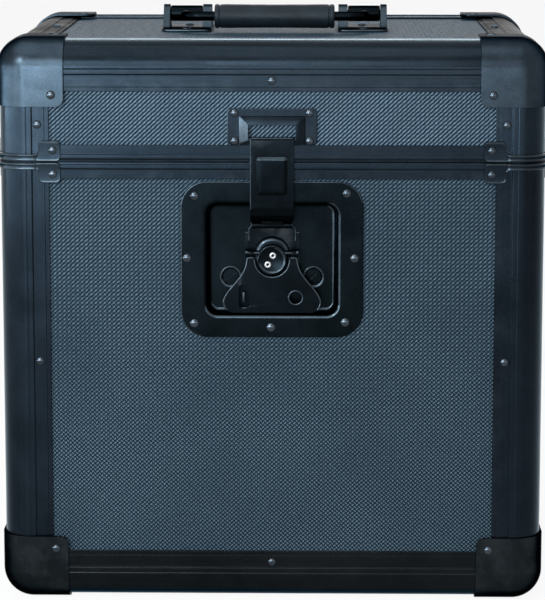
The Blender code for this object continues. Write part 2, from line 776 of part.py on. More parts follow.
def build_rotor(finish, parent):
    hub_face = FRONT + HUB_FACE
    hub_back = FRONT + HUB_BACK
    hub = ((HUB_RADIUS, hub_back), (HUB_RADIUS, hub_face + HUB_EASE), (HUB_RADIUS - HUB_EASE, hub_face))
    rotor = add_object(
        "latch_rotor",
        turned((0, SPINDLE_Z), hub),
        finish,
        (0, FRONT + DISH_FLOOR, SPINDLE_Z),
        parent,
    )
    bar_half = EAR_HALF + BITE
    bar_low = (-EAR_OUT, hub_face + BITE / 2, WING_AXIS_Z - bar_half)
    bar_high = (EAR_OUT, hub_back - BITE / 2, WING_AXIS_Z + bar_half)
    join(rotor, box(bar_low, bar_high))
    axis = (FRONT + WING_AXIS_DEPTH, WING_AXIS_Z)
    ear = arc(axis, EAR_HALF, 90, 270, ARC_STEPS)
    ear += [(hub_face + BITE + BITE, WING_AXIS_Z - EAR_HALF), (hub_face + BITE + BITE, WING_AXIS_Z + EAR_HALF)]
    for side in (-1, 1):
        xs = sorted((side * EAR_OUT, side * (EAR_OUT - EAR_WALL)))
        join(rotor, prism(ear, xs[0], xs[1], "X"))
    join(rotor, rod(axis, PIN_RADIUS, BITE - EAR_OUT, EAR_OUT - BITE, "X"))
    disc_face = FRONT + DISC_FACE
    well_radius = DISC_RADIUS - DISC_RIM
    disc = (
        (DISC_RADIUS, hub_face + BITE),
        (DISC_RADIUS, disc_face + DISC_EASE),
        (DISC_RADIUS - DISC_EASE, disc_face),
        (well_radius, disc_face),
        (well_radius - DISC_EASE, disc_face + DISC_SINK),
    )
    join(rotor, turned((0, DISC_Z), disc))
    cam_back = FRONT + LINK_BACK + FIT / 2
    join(rotor, rod((0, CAM_Z), CAM_RADIUS, hub_back - BITE, cam_back, "Y", ROUND_STEPS))
    washer_face = FRONT + DISH_BACK + FIT
    washer_back = washer_face + WASHER_WALL
    join(rotor, rod((0, SPINDLE_Z), SPINDLE_RADIUS, cam_back - BITE, washer_back - BITE, "Y"))
    join(rotor, rod((0, SPINDLE_Z), WASHER_RADIUS, washer_face, washer_back, "Y"))


def wing_outline():
    """The butterfly's outline about its hinge axis: across, and down from the axis."""
    steps = 2 * ARC_STEPS
    length = WING_AXIS_Z - WING_END
    side = []
    for k in range(steps + 1):
        part = k / steps
        swell = part * part * (3 - 2 * part)
        across = WING_TOP_HALF + (WING_HALF - WING_TOP_HALF) * swell
        down = WING_HEAD + (length - WING_CORNER - WING_HEAD) * part
        side.append((across, -down))
    corner = arc((WING_HALF - WING_CORNER, WING_CORNER - length), WING_CORNER, 0, -90, ARC_STEPS)
    right = side + corner[1:]
    left = [(-a, b) for a, b in reversed(right)]
    return [(a, WING_AXIS_Z + b) for a, b in right + left]


def build_wings(finish, parent):
    face = FRONT + WING_FACE
    back = FRONT + WING_BACK
    origin = (0, FRONT + WING_AXIS_DEPTH, WING_AXIS_Z)
    wings = add_object("latch_wings", prism(wing_outline(), face, back, "Y"), finish, origin, parent)
    clear_low = face - OVERRUN
    clear_high = back + OVERRUN
    cut(wings, rod((0, DISC_Z), DISC_RADIUS + NOTCH_GAP, clear_low, clear_high, "Y", ROUND_STEPS))
    axis = (FRONT + WING_AXIS_DEPTH, WING_AXIS_Z)
    knuckle_out = EAR_OUT - EAR_WALL - FIT
    neck_low = WING_AXIS_Z - WING_HEAD - BITE - BITE
    for side in (-1, 1):
        xs = sorted((side * KNUCKLE_IN, side * knuckle_out))
        join(wings, rod(axis, KNUCKLE_RADIUS, xs[0], xs[1], "X"))
        ends = sorted((side * (KNUCKLE_IN + BITE), side * (knuckle_out - BITE)))
        join(wings, box((ends[0], face + BITE / 2, neck_low), (ends[1], back - BITE / 2, WING_AXIS_Z)))
    cut(wings, rod(axis, PIN_RADIUS + FIT, -WING_HALF, WING_HALF, "X"))
    slot_low = WING_END + SLOT_RISE
    slot = rounded(
        (-SLOT_PLACE - SLOT_HALF, slot_low), (-SLOT_PLACE + SLOT_HALF, slot_low + SLOT_LENGTH), SLOT_HALF - BITE
    )
    cut(wings, prism(slot, clear_low, clear_high, "Y"))
    hole = (HOLE_PLACE, WING_END + HOLE_RISE)
    cut(wings, rod(hole, HOLE_RADIUS, clear_low, clear_high, "Y"))


def build_link(finish, parent):
    face = FRONT + LINK_FACE
    back = FRONT + LINK_BACK
    yoke_half = CAM_RADIUS + CAM_PLAY
    yoke_wide = CAM_RADIUS + CAM_THROW + CAM_PLAY
    low = CAM_Z - yoke_half - LINK_SIDE
    top = ARM_AXIS_Z + ARM_KNUCKLE + BITE
    outline = [
        (LINK_HALF, low),
        (LINK_HALF, top - LINK_SHOULDER),
        (LINK_TOP_HALF, top - LINK_SHOULDER + (LINK_HALF - LINK_TOP_HALF)),
        (LINK_TOP_HALF, top),
    ]
    outline += [(-a, b) for a, b in reversed(outline)]
    origin = (0, FRONT + ARM_AXIS_DEPTH, ARM_AXIS_Z)
    link = add_object("latch_link", prism(outline, face, back, "Y"), finish, origin, parent)
    yoke = rounded((-yoke_wide, CAM_Z - yoke_half), (yoke_wide, CAM_Z + yoke_half), yoke_half - BITE, ARC_STEPS)
    cut(link, prism(yoke, face - OVERRUN, back + OVERRUN, "Y"))
    axis = (FRONT + ARM_AXIS_DEPTH, ARM_AXIS_Z)
    lug = arc(axis, ARM_KNUCKLE, 90, 270, ARC_STEPS)
    lug += [(face + BITE, ARM_AXIS_Z - ARM_KNUCKLE), (face + BITE, ARM_AXIS_Z + ARM_KNUCKLE)]
    for side in (-1, 1):
        xs = sorted((side * (ARM_KNUCKLE_HALF + FIT), side * (LINK_TOP_HALF - BITE)))
        join(link, prism(lug, xs[0], xs[1], "X"))
    join(link, rod(axis, PIN_RADIUS, BITE - LINK_TOP_HALF, LINK_TOP_HALF - BITE, "X"))


def arm_side(low_back, low_face):
    """Side view of the hook arm: depth and height, from the foot up the bend to the inward hook."""
    bend_top = ARM_AXIS_Z + ARM_FOOT + ARM_BEND + ARM_FOOT
    slope_out = EDGE_STEP - ARM_PLATE
    slope_top = ARM_AXIS_Z + ARM_FOOT + ARM_BEND
    head = HOOK_TOP - ARM_TOP_RADIUS
    back = [
        low_back,
        (slope_out + ARM_PLATE / 2, slope_top),
        (ARM_BACK, bend_top),
        (ARM_BACK, HOOK_LOW),
        (ARM_BACK + HOOK_REACH, HOOK_LOW),
        (ARM_BACK + HOOK_REACH, HOOK_TOP),
    ]
    top = arc((ARM_FACE + ARM_TOP_RADIUS, head), ARM_TOP_RADIUS, 90, 180, SMALL_STEPS)
    front = [
        (ARM_FACE, bend_top - BITE),
        (slope_out - ARM_PLATE, slope_top - BITE),
        low_face,
    ]
    return [(FRONT + depth, height) for depth, height in back + top + front]


def build_arm(finish, parent):
    foot_z = ARM_AXIS_Z + ARM_FOOT
    foot_back = ARM_AXIS_DEPTH - ARM_KNUCKLE + BITE
    foot_face = foot_back - ARM_PLATE - BITE
    side_view = arm_side((foot_back, foot_z), (foot_face, foot_z))
    origin = (0, FRONT + ARM_AXIS_DEPTH, ARM_AXIS_Z)
    arm = add_object("latch_arm", prism(side_view, -ARM_HALF, ARM_HALF, "X"), finish, origin, parent)
    axis = (FRONT + ARM_AXIS_DEPTH, ARM_AXIS_Z)
    neck_half = ARM_KNUCKLE_HALF - BITE
    neck = [
        (FRONT + foot_face + BITE / 2, foot_z + BITE),
        (FRONT + foot_back - BITE, foot_z + BITE),
        (FRONT + ARM_AXIS_DEPTH, ARM_AXIS_Z + ARM_KNUCKLE - BITE),
        (FRONT + ARM_AXIS_DEPTH, ARM_AXIS_Z),
        (FRONT + ARM_AXIS_DEPTH - ARM_KNUCKLE + BITE / 2, ARM_AXIS_Z),
    ]
    join(arm, prism(neck, -neck_half, neck_half, "X"))
    join(arm, rod(axis, ARM_KNUCKLE, -ARM_KNUCKLE_HALF, ARM_KNUCKLE_HALF, "X"))
    cut(arm, rod(axis, PIN_RADIUS + FIT, -ARM_HALF, ARM_HALF, "X"))
    low = ARM_AXIS_Z + STIFF_LOW
    high = HOOK_TOP - STIFF_HIGH
    base = FRONT + ARM_FACE + BITE
    crest = FRONT + ARM_FACE - STIFF_RISE
    wide = rounded((-STIFF_HALF, low), (STIFF_HALF, high), STIFF_SLOPE + BITE)
    slim = rounded(
        (STIFF_SLOPE - STIFF_HALF, low + STIFF_SLOPE), (STIFF_HALF - STIFF_SLOPE, high - STIFF_SLOPE), BITE
    )
    join(arm, loft([[(a, base, b) for a, b in wide], [(a, crest, b) for a, b in slim]]))


def build_keeper(finish, parent):
    face = FRONT + KEEPER_FACE
    back = FRONT + SKIN
    top = KEEPER_LOW + KEEPER_HEIGHT
    plate = rounded((-KEEPER_WIDTH / 2, KEEPER_LOW), (KEEPER_WIDTH / 2, top), KEEPER_RADIUS)
    origin = (0, FRONT + SKIN, KEEPER_LOW)
    keeper = add_object("latch_keeper", prism(plate, face, back, "Y"), finish, origin, parent)
    low = KEEPER_LOW + FRAME_LOW
    high = KEEPER_LOW + FRAME_HIGH
    window_high = WINDOW_LOW + WINDOW_HEIGHT
    crest_half = WINDOW_HALF + FRAME_CREST
    wide = rounded((-FRAME_HALF, low), (FRAME_HALF, high), FRAME_RADIUS)
    slim = rounded((-crest_half, low + FRAME_SLOPE), (crest_half, window_high + FRAME_CREST), FRAME_CREST)
    crest = FRONT + FRAME_FACE
    join(keeper, loft([[(a, face + BITE, b) for a, b in wide], [(a, crest, b) for a, b in slim]]))
    cut(keeper, box((-WINDOW_HALF, crest - OVERRUN, WINDOW_LOW), (WINDOW_HALF, back + OVERRUN, window_high)))


def build_handle(metal, grip_finish, lid, swing):
    foot = HANDLE_FOOT
    plate_top = foot + BRACKET_PLATE
    axis = (0, HANDLE_AXIS_Z)
    cheek_foot = plate_top - BITE
    half = CHEEK_LENGTH / 2
    cheek = [(half, cheek_foot)]
    cheek += arc(axis, CHEEK_TOP_RADIUS, 30, 150, ARC_STEPS)
    cheek += [(-half, cheek_foot)]
    for label, side in (("left", -1), ("right", 1)):
        middle = side * BRACKET_CENTRE
        outline = rounded(
            (middle - BRACKET_WIDTH / 2, -BRACKET_LENGTH / 2),
            (middle + BRACKET_WIDTH / 2, BRACKET_LENGTH / 2),
            BRACKET_RADIUS,
        )
        bracket = add_object(
            "handle_bracket_" + label,
            prism(outline, foot, plate_top, "Z"),
            metal,
            (middle, 0, foot),
            lid,
        )
        outer_end = middle + side * (BRACKET_WIDTH / 2 - BITE)
        inner_end = middle - side * (BRACKET_WIDTH / 2 - BITE)
        outer = sorted((outer_end, outer_end - side * CHEEK_OUTER))
        inner = sorted((inner_end, inner_end + side * CHEEK_INNER))
        join(bracket, prism(cheek, outer[0], outer[1], "X"), prism(cheek, inner[0], inner[1], "X"))
        pin = sorted((outer_end - side * BITE, inner_end + side * BITE))
        join(bracket, rod(axis, HANDLE_PIN, pin[0], pin[1], "X"))
    eye_outer = BRACKET_CENTRE + BRACKET_WIDTH / 2 - BITE - CHEEK_OUTER - FIT
    eye_inner = BRACKET_CENTRE - BRACKET_WIDTH / 2 + BITE + CHEEK_INNER + FIT
    arm_x = (eye_outer + eye_inner) / 2
    origin = (0, 0, HANDLE_AXIS_Z)
    bend_centre = (arm_x - BAIL_BEND, -BAIL_REACH + BAIL_BEND)
    right = arc(bend_centre, BAIL_BEND, 0, -90, ARC_STEPS)
    right = [(arm_x, -EYE_RADIUS + BITE)] + right
    bail_points = right + [(-a, b) for a, b in reversed(right)]
    curve = bpy.data.curves.new("handle_bail_rod", "CURVE")
    curve.dimensions = "3D"
    curve.bevel_depth = BAIL_ROD
    curve.bevel_resolution = 2
    curve.use_fill_caps = True
    spline = curve.splines.new("POLY")
    spline.points.add(len(bail_points) - 1)
    for point, (a, b) in zip(spline.points, bail_points):
        point.co = (a, b, 0, 1)
    guide = bpy.data.objects.new("handle_bail_guide", curve)
    bpy.context.scene.collection.objects.link(guide)
    mesh = baked(guide)
    mesh.materials.clear()
    mesh.materials.append(metal)
    bail = add_object("handle_bail", mesh, metal, origin, swing)
    for side in (-1, 1):
        xs = sorted((side * eye_outer, side * eye_inner))
        join(bail, rod(axis, EYE_RADIUS, xs[0], xs[1], "X", PIN_STEPS))
    reach = BRACKET_CENTRE + BRACKET_WIDTH
    cut(bail, rod(axis, HANDLE_PIN + EYE_PLAY, -reach, reach, "X"))
    centre = (-BAIL_REACH, HANDLE_AXIS_Z)
    end = GRIP_LENGTH / 2
    groove = end - GRIP_COLLAR
    half_stops = [
        (end, GRIP_RADIUS - GRIP_CROWN),
        (end - GRIP_CROWN, GRIP_RADIUS),
        (groove, GRIP_RADIUS),
        (groove - GRIP_GROOVE / 2, GRIP_RADIUS - GRIP_GROOVE_DEPTH),
        (groove - GRIP_GROOVE, GRIP_RADIUS),
    ]
    stops = [(-along, radius) for along, radius in half_stops] + half_stops[::-1]
    loops = []
    for along, radius in stops:
        loops.append([(along, a, b) for a, b in circle(centre, radius, ROUND_STEPS)])
    bore = BAIL_ROD + FIT
    for along in (GRIP_LENGTH / 2, -GRIP_LENGTH / 2):
        loops.append([(along, a, b) for a, b in circle(centre, bore, ROUND_STEPS)])
    grip_origin = (0, -BAIL_REACH, HANDLE_AXIS_Z)
    add_object("handle_grip", loft(loops, ring=True), grip_finish, grip_origin, swing)


def leaf_profile(side):
    """Side view of a hinge leaf: depth and height, joggled from the rim band to the panel."""
    face = -HINGE_PLATE
    seat = SKIN - HINGE_PLATE
    step = RIM_HEIGHT + FIT + FIT
    points = [
        (0, FIT + FIT),
        (face, FIT + FIT),
        (face, step + HINGE_PLATE),
        (seat, step + HINGE_PLATE + HINGE_PLATE),
        (seat, HINGE_HEIGHT + BITE),
        (SKIN, HINGE_HEIGHT + BITE),
        (SKIN, step + HINGE_PLATE),
        (0, step),
    ]
    return [(REAR - depth, SEAM + side * height) for depth, height in points]


def leaf(name, side, start, end, finish, origin, parent=None):
    """A hinge leaf with its far corners rounded."""
    item = add_object(name, prism(leaf_profile(side), start - BITE, end + BITE, "X"), finish, origin, parent)
    far = SEAM + side * HINGE_HEIGHT
    near = SEAM - side * HINGE_CORNER
    outline = rounded((start, min(near, far)), (end, max(near, far)), HINGE_CORNER)
    combine(item, prism(outline, REAR - SKIN - OVERRUN, REAR + HINGE_PLATE + OVERRUN, "Y"), "INTERSECT")
    return item


def build_hinges(finish, lid):
    axis = (HINGE_Y, SEAM)
    half = HINGE_WIDTH / 2
    middle = HINGE_KNUCKLE / 2
    gap = FIT / 2
    for label, side in (("left", -1), ("right", 1)):
        centre = side * HINGE_PLACE
        origin = (centre, HINGE_Y, SEAM)
        start = centre - half
        end = centre + half
        body = leaf("hinge_body_" + label, -1, start, end, finish, origin)
        cover = leaf("hinge_lid_" + label, 1, start, end, finish, origin, lid)
        clear = HINGE_RADIUS + FIT
        left = centre - middle - gap
        right = centre + middle + gap
        cut(body, box((left - gap, REAR - BITE, SEAM - clear), (right + gap, REAR + clear + clear, SEAM + clear)))
        outer = (
            (start - BITE, left - gap - gap),
            (right + gap + gap, end + BITE),
        )
        for low, high in outer:
            cut(cover, box((low - gap, REAR - BITE, SEAM - clear), (high, REAR + clear + clear, SEAM + clear)))
            knuckle = (max(low, start) + BITE, min(high, end) - BITE)
            join(body, rod(axis, HINGE_RADIUS, knuckle[0], knuckle[1], "X", PIN_STEPS))
        join(body, rod(axis, HINGE_PIN, start + OVERRUN, end - OVERRUN, "X", PIN_STEPS))
        join(cover, rod(axis, HINGE_RADIUS, left + gap + BITE, right - gap - BITE, "X", PIN_STEPS))
        cut(cover, rod(axis, HINGE_PIN + HINGE_PLAY, start - OVERRUN, end + OVERRUN, "X", PIN_STEPS))


def build():
    clear_scene()
    board = material("textured_board", (0.045, 0.056, 0.072), 0.45, 0.0)
    metal = material("black_anodised", (0.020, 0.024, 0.032), 0.35, 0.7)
    plated = material("black_steel", (0.014, 0.014, 0.016), 0.38, 0.6)
    foam = material("lining_foam", (0.025, 0.025, 0.027), 0.95, 0.0)
    rubber = material("grip_plastic", (0.014, 0.015, 0.017), 0.5, 0.0)
    lid = axis_empty("lid_axis", (0, HINGE_Y, SEAM))
    build_panels(board, lid)
    build_linings(foam, lid)
    build_rims(metal, lid)
    build_uprights(metal, lid)
    build_edge_bars(metal, lid)
    build_ball_corners(plated, lid)
    build_clamps(plated, lid)
    turn = axis_empty("rotor_axis", (0, FRONT + DISH_FLOOR, SPINDLE_Z))
    fold = axis_empty("wings_axis", (0, FRONT + WING_AXIS_DEPTH, WING_AXIS_Z), turn)
    lift = axis_empty("link_axis", (0, FRONT + ARM_AXIS_DEPTH, ARM_AXIS_Z))
    swing = axis_empty("arm_axis", (0, FRONT + ARM_AXIS_DEPTH, ARM_AXIS_Z), lift)
    build_dish(plated)
    build_rotor(plated, turn)
    build_wings(plated, fold)
    build_link(plated, lift)
    build_arm(plated, swing)
    build_keeper(plated, lid)
    bail = axis_empty("handle_axis", (0, 0, HANDLE_AXIS_Z), lid)
    build_handle(plated, rubber, lid, bail)
    build_hinges(plated, lid)


build()
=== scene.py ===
"""Looks of the record carrying case.

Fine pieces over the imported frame, procedural finishes, soft light and the camera.
Shapes are written in millimetres; materials, lamps and the camera are in metres.
"""

import math

import bmesh
import bpy
from mathutils import Matrix, Vector


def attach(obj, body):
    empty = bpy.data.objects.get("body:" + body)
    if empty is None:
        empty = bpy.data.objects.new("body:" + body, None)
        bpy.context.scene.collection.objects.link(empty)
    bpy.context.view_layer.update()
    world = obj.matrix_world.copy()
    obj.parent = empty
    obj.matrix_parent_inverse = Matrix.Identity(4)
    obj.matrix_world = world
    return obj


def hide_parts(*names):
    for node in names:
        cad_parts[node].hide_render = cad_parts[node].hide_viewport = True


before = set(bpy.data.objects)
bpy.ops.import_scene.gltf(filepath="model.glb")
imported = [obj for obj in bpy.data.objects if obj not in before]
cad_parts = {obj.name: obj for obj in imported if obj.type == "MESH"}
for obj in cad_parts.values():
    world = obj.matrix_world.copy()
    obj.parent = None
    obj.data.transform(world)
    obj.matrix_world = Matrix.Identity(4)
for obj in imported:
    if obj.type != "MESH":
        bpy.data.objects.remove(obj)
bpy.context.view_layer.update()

MM = 0.001

# The case as the CAD source has it
CASE_WIDTH = 365
CASE_DEPTH = 280
CASE_HEIGHT = 381.2
LID_HEIGHT = 80.9
FIT = 0.3
BALL_WALL = 1.5
HALF_WIDTH = CASE_WIDTH / 2
HALF_DEPTH = CASE_DEPTH / 2
FRONT = -HALF_DEPTH
REAR = HALF_DEPTH
FLOOR = BALL_WALL + FIT
ROOF = FLOOR + CASE_HEIGHT
SEAM = ROOF - LID_HEIGHT

# Edge extrusions
EDGE_RADIUS = 19
EDGE_LEG = 34
EDGE_STEP = 0.8
EDGE_WALL = 1.4
SKIN = EDGE_STEP + EDGE_WALL
RIB_WIDTH = 3.5
RIB_SLOPE = 0.4
LIP_WIDTH = 3
LIP_DROP = 0.5
WEB_WALL = 1.3
FLANGE_LENGTH = 8
CHANNEL_BACK = SKIN + 6.6
RIM_BACK = CHANNEL_BACK + 1.2
WEB_PLACE = EDGE_RADIUS + LIP_DROP
BAR_INSET = EDGE_LEG + FIT
EDGE_RIVET = 26.5

# Ball corners
BALL_REACH = 44.2
BALL_TIP_RADIUS = 5.5
BALL_RIVET = 36
DIMPLE_RADIUS = 4.6
DIMPLE_DEPTH = 0.8

# Rim frames and seam clamps
RIM_HEIGHT = 11
CLAMP_WALL = 1.5
CLAMP_RIDGE = 0.3
CLAMP_LOW = 0.7
CLAMP_HIGH = 5.3
TAB_START = 27.3
TAB_END = 41.6
TAB_LOW = 0.3
TAB_HIGH = 14.1
TAB_WALL = 1.2
TAB_RADIUS = 3
TAB_RIVET = (36.6, 8)

# Latch dish
DISH_WIDTH = 122
DISH_HEIGHT = 105.4
DISH_RADIUS = 17.5
DISH_MIDDLE = 236.4
DISH_FACE = 1
DISH_FLOOR = 11.5
DISH_BACK = 12.7
POCKET_WIDTH = 88.2
POCKET_HEIGHT = 75.9
POCKET_RADIUS = 8
MOUTH = (POCKET_WIDTH / 2, POCKET_HEIGHT / 2, POCKET_RADIUS)
DISH_RIVETS = (
    (-51.8, 279.4), (49.9, 281.2), (-56.9, 237.5), (55.2, 237.5),
    (-52.2, 193.2), (49, 194), (-0.7, 190.5), (0, 283.2),
)

# Latch
SPINDLE_Z = 239
WING_AXIS_Z = 240.5
WING_AXIS_DEPTH = 2.8
CAM_Z = 236
DISC_Z = 236.1
DISC_FACE = 8
ARM_AXIS_Z = 259
ARM_AXIS_DEPTH = 6.8
WING_FACE = 1.6
WING_BACK = 3.2
LINK_FACE = 9.6
LINK_BACK = 11.1
HUB_FACE = 7.6
HUB_BACK = 9.3
WELL_RADIUS = 6.4
WELL_SPREAD = 27.8
WELL_Z = 223.2
WING_HALF = 33
WING_HEAD = 17.2
WING_CORNER = 7
WING_END = 200.35
SLOT_PLACE = 19.1
SLOT_LOW = WING_END + 2.7
STAPLE_LOW = WING_END + 6.4
ARM_BACK = -1.9
HOOK_LOW = 317.4
STIFF_LOW = 280
STIFF_HIGH = 306
KEEPER_MIDDLE = 325.7
KEEPER_RIVETS = ((-24.9, 335), (24.9, 335), (-24.9, 316.3), (24.9, 316.3))

# Handle and hinges
HANDLE_FOOT = 380.8
HANDLE_AXIS_Z = 391.8
BRACKET_CENTRE = 62
BAIL_REACH = 30
HINGE_Y = REAR + 3.3
HINGE_PLACE = 95

# Camera: a long lens a little above the case, close to level
LENS_PIXELS = 2600
FRAME_LONG_SIDE = 600
SENSOR = 36
CAMERA_PLACE = (0.030, -1.8540, 0.5143)
CAMERA_PITCH = 8.37
CAMERA_YAW = -0.99
CAMERA_SHIFT = -0.13

# Weave of the panels' skin: how far it repeats across and up, and its relief
WEAVE_ACROSS = 0.00303
WEAVE_UP = 0.00283
WEAVE_RELIEF = 0.00022

# Relief of the fine grain on the metal
METAL_RELIEF = 0.000006

# A small overlap between joined solids, and how far a cutter stands past what it cuts
TINY = 0.4
BEYOND = 3

# Turns an outline's (a, b) and a height h into a point, by the axis that the height runs along
PLACERS = {
    "X": lambda a, b, h: (h, a, b),
    "Y": lambda a, b, h: (a, h, b),
    "Z": lambda a, b, h: (a, b, h),
}
# The two halves of the case: body, beginning of its names, level of its outer face and which way that faces
HALVES = (("case_body", "", FLOOR, -1), ("lid", "lid_", ROOF, 1))
CORNERS = {"front_left": (-1, -1), "front_right": (1, -1), "back_right": (1, 1), "back_left": (-1, 1)}


def loft(loops, ring=False):
    """A closed solid through loops of equally many points, capped at both ends or joined into a ring."""
    maker = bmesh.new()
    rows = [[maker.verts.new([value * MM for value in point]) for point in loop] for loop in loops]
    pairs = list(zip(rows, rows[1:]))
    if ring:
        pairs.append((rows[-1], rows[0]))
    else:
        maker.faces.new(rows[0])
        maker.faces.new(rows[-1])
    for low, high in pairs:
        for k in range(len(low)):
            after = (k + 1) % len(low)
            maker.faces.new((low[k], low[after], high[after], high[k]))
    bmesh.ops.remove_doubles(maker, verts=maker.verts, dist=1e-7)
    return maker


def laid(outline, height, axis="Y"):
    """The points of an outline at one height along an axis."""
    return [PLACERS[axis](a, b, height) for a, b in outline]


def prism(outline, low, high, axis):
    return loft([laid(outline, low, axis), laid(outline, high, axis)])


def box(low, high):
    outline = [(low[0], low[1]), (high[0], low[1]), (high[0], high[1]), (low[0], high[1])]
    return prism(outline, low[2], high[2], "Z")


def arc(centre, radius, start, end, steps=12):
    points = []
    for k in range(steps + 1):
        angle = math.radians(start + (end - start) * k / steps)
        points.append((centre[0] + radius * math.cos(angle), centre[1] + radius * math.sin(angle)))
    return points


def circle(centre, radius, steps=40):
    return arc(centre, radius, 0, 360, steps)[:-1]


def rounded(low, high, radius, steps=8):
    points = arc((high[0] - radius, high[1] - radius), radius, 0, 90, steps)
    points += arc((low[0] + radius, high[1] - radius), radius, 90, 180, steps)
    points += arc((low[0] + radius, low[1] + radius), radius, 180, 270, steps)
    points += arc((high[0] - radius, low[1] + radius), radius, 270, 360, steps)
    return points


def grown(half_a, half_b, radius, extra, middle, steps=12):
    """A rounded rectangle about a middle point, widened all round by the extra."""
    low = (middle[0] - half_a - extra, middle[1] - half_b - extra)
    high = (middle[0] + half_a + extra, middle[1] + half_b + extra)
    return rounded(low, high, max(radius + extra, TINY), steps)


def stacked(shape, stages, middle, axis="Y", steps=12):
    """Loops of one rounded rectangle (half sizes and radius), widened by an extra at each height."""
    return [laid(grown(*shape, extra, middle, steps), height, axis) for extra, height in stages]


def soft(points, radius, steps=4, closed=True):
    """The same outline with its corners eased; the radius is one number or one for each corner."""
    spots = [Vector([value * MM for value in point]) for point in points]
    made = []
    for k, here in enumerate(spots):
        reach = (radius[k] if isinstance(radius, (list, tuple)) else radius) * MM
        if not closed and k in (0, len(spots) - 1):
            reach = 0
        before = spots[k - 1] - here
        after = spots[(k + 1) % len(spots)] - here
        reach = min(reach, before.length * 0.48, after.length * 0.48)
        if reach < MM * MM:
            made.append(here)
            continue
        start = here + before.normalized() * reach
        end = here + after.normalized() * reach
        for i in range(steps + 1):
            t = i / steps
            made.append(start * (1 - t) ** 2 + here * 2 * t * (1 - t) + end * t * t)
    return [tuple(value / MM for value in spot) for spot in made]


def lathe(profile, place, way, steps=24):
    """A closed solid turned about an axis from a place along a way; the profile holds radius and height."""
    turn = Vector(way).to_track_quat("Z", "Y").to_matrix()
    loops = []
    for radius, height in profile:
        ring = [(a, b, height) for a, b in circle((0, 0), max(radius, 0.01), steps)]
        loops.append([tuple(turn @ Vector(point) + Vector(place)) for point in ring])
    return loft(loops)


def rod(centre, radius, low, high, axis, steps=32, ease=0.0):
    """A round bar with eased ends."""
    if not ease:
        return prism(circle(centre, radius, steps), low, high, axis)
    stops = ((low, radius - ease), (low + ease * 0.3, radius - ease * 0.3), (low + ease, radius))
    stops += ((high - ease, radius), (high - ease * 0.3, radius - ease * 0.3), (high, radius - ease))
    return loft([laid(circle(centre, size, steps), along, axis) for along, size in stops])


def bead(path, level, radius, steps=10, axis="Y"):
    """A bead of round section along a path that lies at one level of an axis."""
    loops = []
    for k, (a, b) in enumerate(path):
        run = Vector(path[min(k + 1, len(path) - 1)]) - Vector(path[max(k - 1, 0)])
        run.normalize()
        ring = circle((0, 0), radius, steps)
        loops.append([PLACERS[axis](a - run.y * u, b + run.x * u, level + v) for u, v in ring])
    return loft(loops)


def merged(*makers):
    """One bmesh that holds several separate solids."""
    whole = bmesh.new()
    for maker in makers:
        mesh = meshed(maker)
        whole.from_mesh(mesh)
        bpy.data.meshes.remove(mesh)
    return whole


def meshed(maker):
    bmesh.ops.recalc_face_normals(maker, faces=maker.faces)
    mesh = bpy.data.meshes.new("made")
    maker.to_mesh(mesh)
    maker.free()
    return mesh


def link(name, data):
    """A new object with this data, in the scene."""
    made = bpy.data.objects.new(name, data)
    bpy.context.scene.collection.objects.link(made)
    return made


def fused(maker, joins=(), cuts=()):
    """The mesh of a solid with others joined to it and cut from it."""
    blank = link("blank", meshed(maker))
    used = [blank]
    for operation, tools in (("UNION", joins), ("DIFFERENCE", cuts)):
        for tool in tools:
            other = link("tool", meshed(tool))
            used.append(other)
            step = blank.modifiers.new("step", "BOOLEAN")
            step.operation = operation
            step.solver = "EXACT"
            step.object = other
    graph = bpy.context.evaluated_depsgraph_get()
    mesh = bpy.data.meshes.new_from_object(blank.evaluated_get(graph))
    for old in used:
        bpy.data.objects.remove(old, do_unlink=True)
    return mesh


def show(name, source, finish, body, nodes=(), ease=0.0, rounds=2, angle=38, matrix=None):
    """Link a finished piece: its edges eased, its finish, the body it rides on and the nodes it stands for."""
    mesh = source.copy() if isinstance(source, bpy.types.Mesh) else meshed(source)
    if matrix is not None:
        placed = matrix.copy()
        placed.translation = matrix.translation * MM
        mesh.transform(placed)
        if matrix.determinant() < 0:
            mesh.flip_normals()
    mesh.materials.clear()
    mesh.materials.append(finish)
    mesh.shade_smooth()
    made = link(name, mesh)
    if ease:
        step = made.modifiers.new("eased_edges", "BEVEL")
        step.width = ease * MM
        step.segments = rounds
        step.limit_method = "ANGLE"
        step.angle_limit = math.radians(angle)
        step.harden_normals = True
    else:
        mesh.set_sharp_from_angle(angle=math.radians(angle))
        made.modifiers.new("even_shading", "WEIGHTED_NORMAL").keep_sharp = True
    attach(made, body)
    if nodes:
        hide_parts(*nodes)
    return made


def paint_edge_highlights(made, limit=1000, low=0, up=0.1, left=0.1):
    """Paint a highlight on rounded front edges that face up or left, where the light falls, by giving them the paler
    highlight steel.
    """
    made.data.materials.append(PAINTED_HIGHLIGHT_STEEL)
    for face in made.data.polygons:
        turn = face.normal
        rounded_edge = 0.35 < -turn.y < 0.985 and (turn.z > up or -turn.x > left)
        if rounded_edge and low * MM < face.center.z < limit * MM:
            face.material_index = 1


def basis(u, v, w, place=(0, 0, 0)):
    """The matrix that lays a part's own axes along three directions from a place."""
    made = Matrix((u, v, w)).transposed().to_4x4()
    made.translation = place
    return made


def corner_matrix(sx, sy, sz, height):
    """Lays a part's own axes into the case from one of its upright corners, at a height."""
    ways = (Vector((-sx, 0, 0)), Vector((0, -sy, 0)), Vector((0, 0, -sz)))
    return basis(*ways, (sx * HALF_WIDTH, sy * HALF_DEPTH, height))


def node(tree, kind, inputs=None, **settings):
    """Add a shader node; an input is a number, a colour or the socket that feeds it."""
    made = tree.nodes.new(kind)
    for name, value in settings.items():
        setattr(made, name, value)
    for key, value in (inputs or {}).items():
        if isinstance(value, bpy.types.NodeSocket):
            tree.links.new(value, made.inputs[key])
        else:
            made.inputs[key].default_value = value
    return made


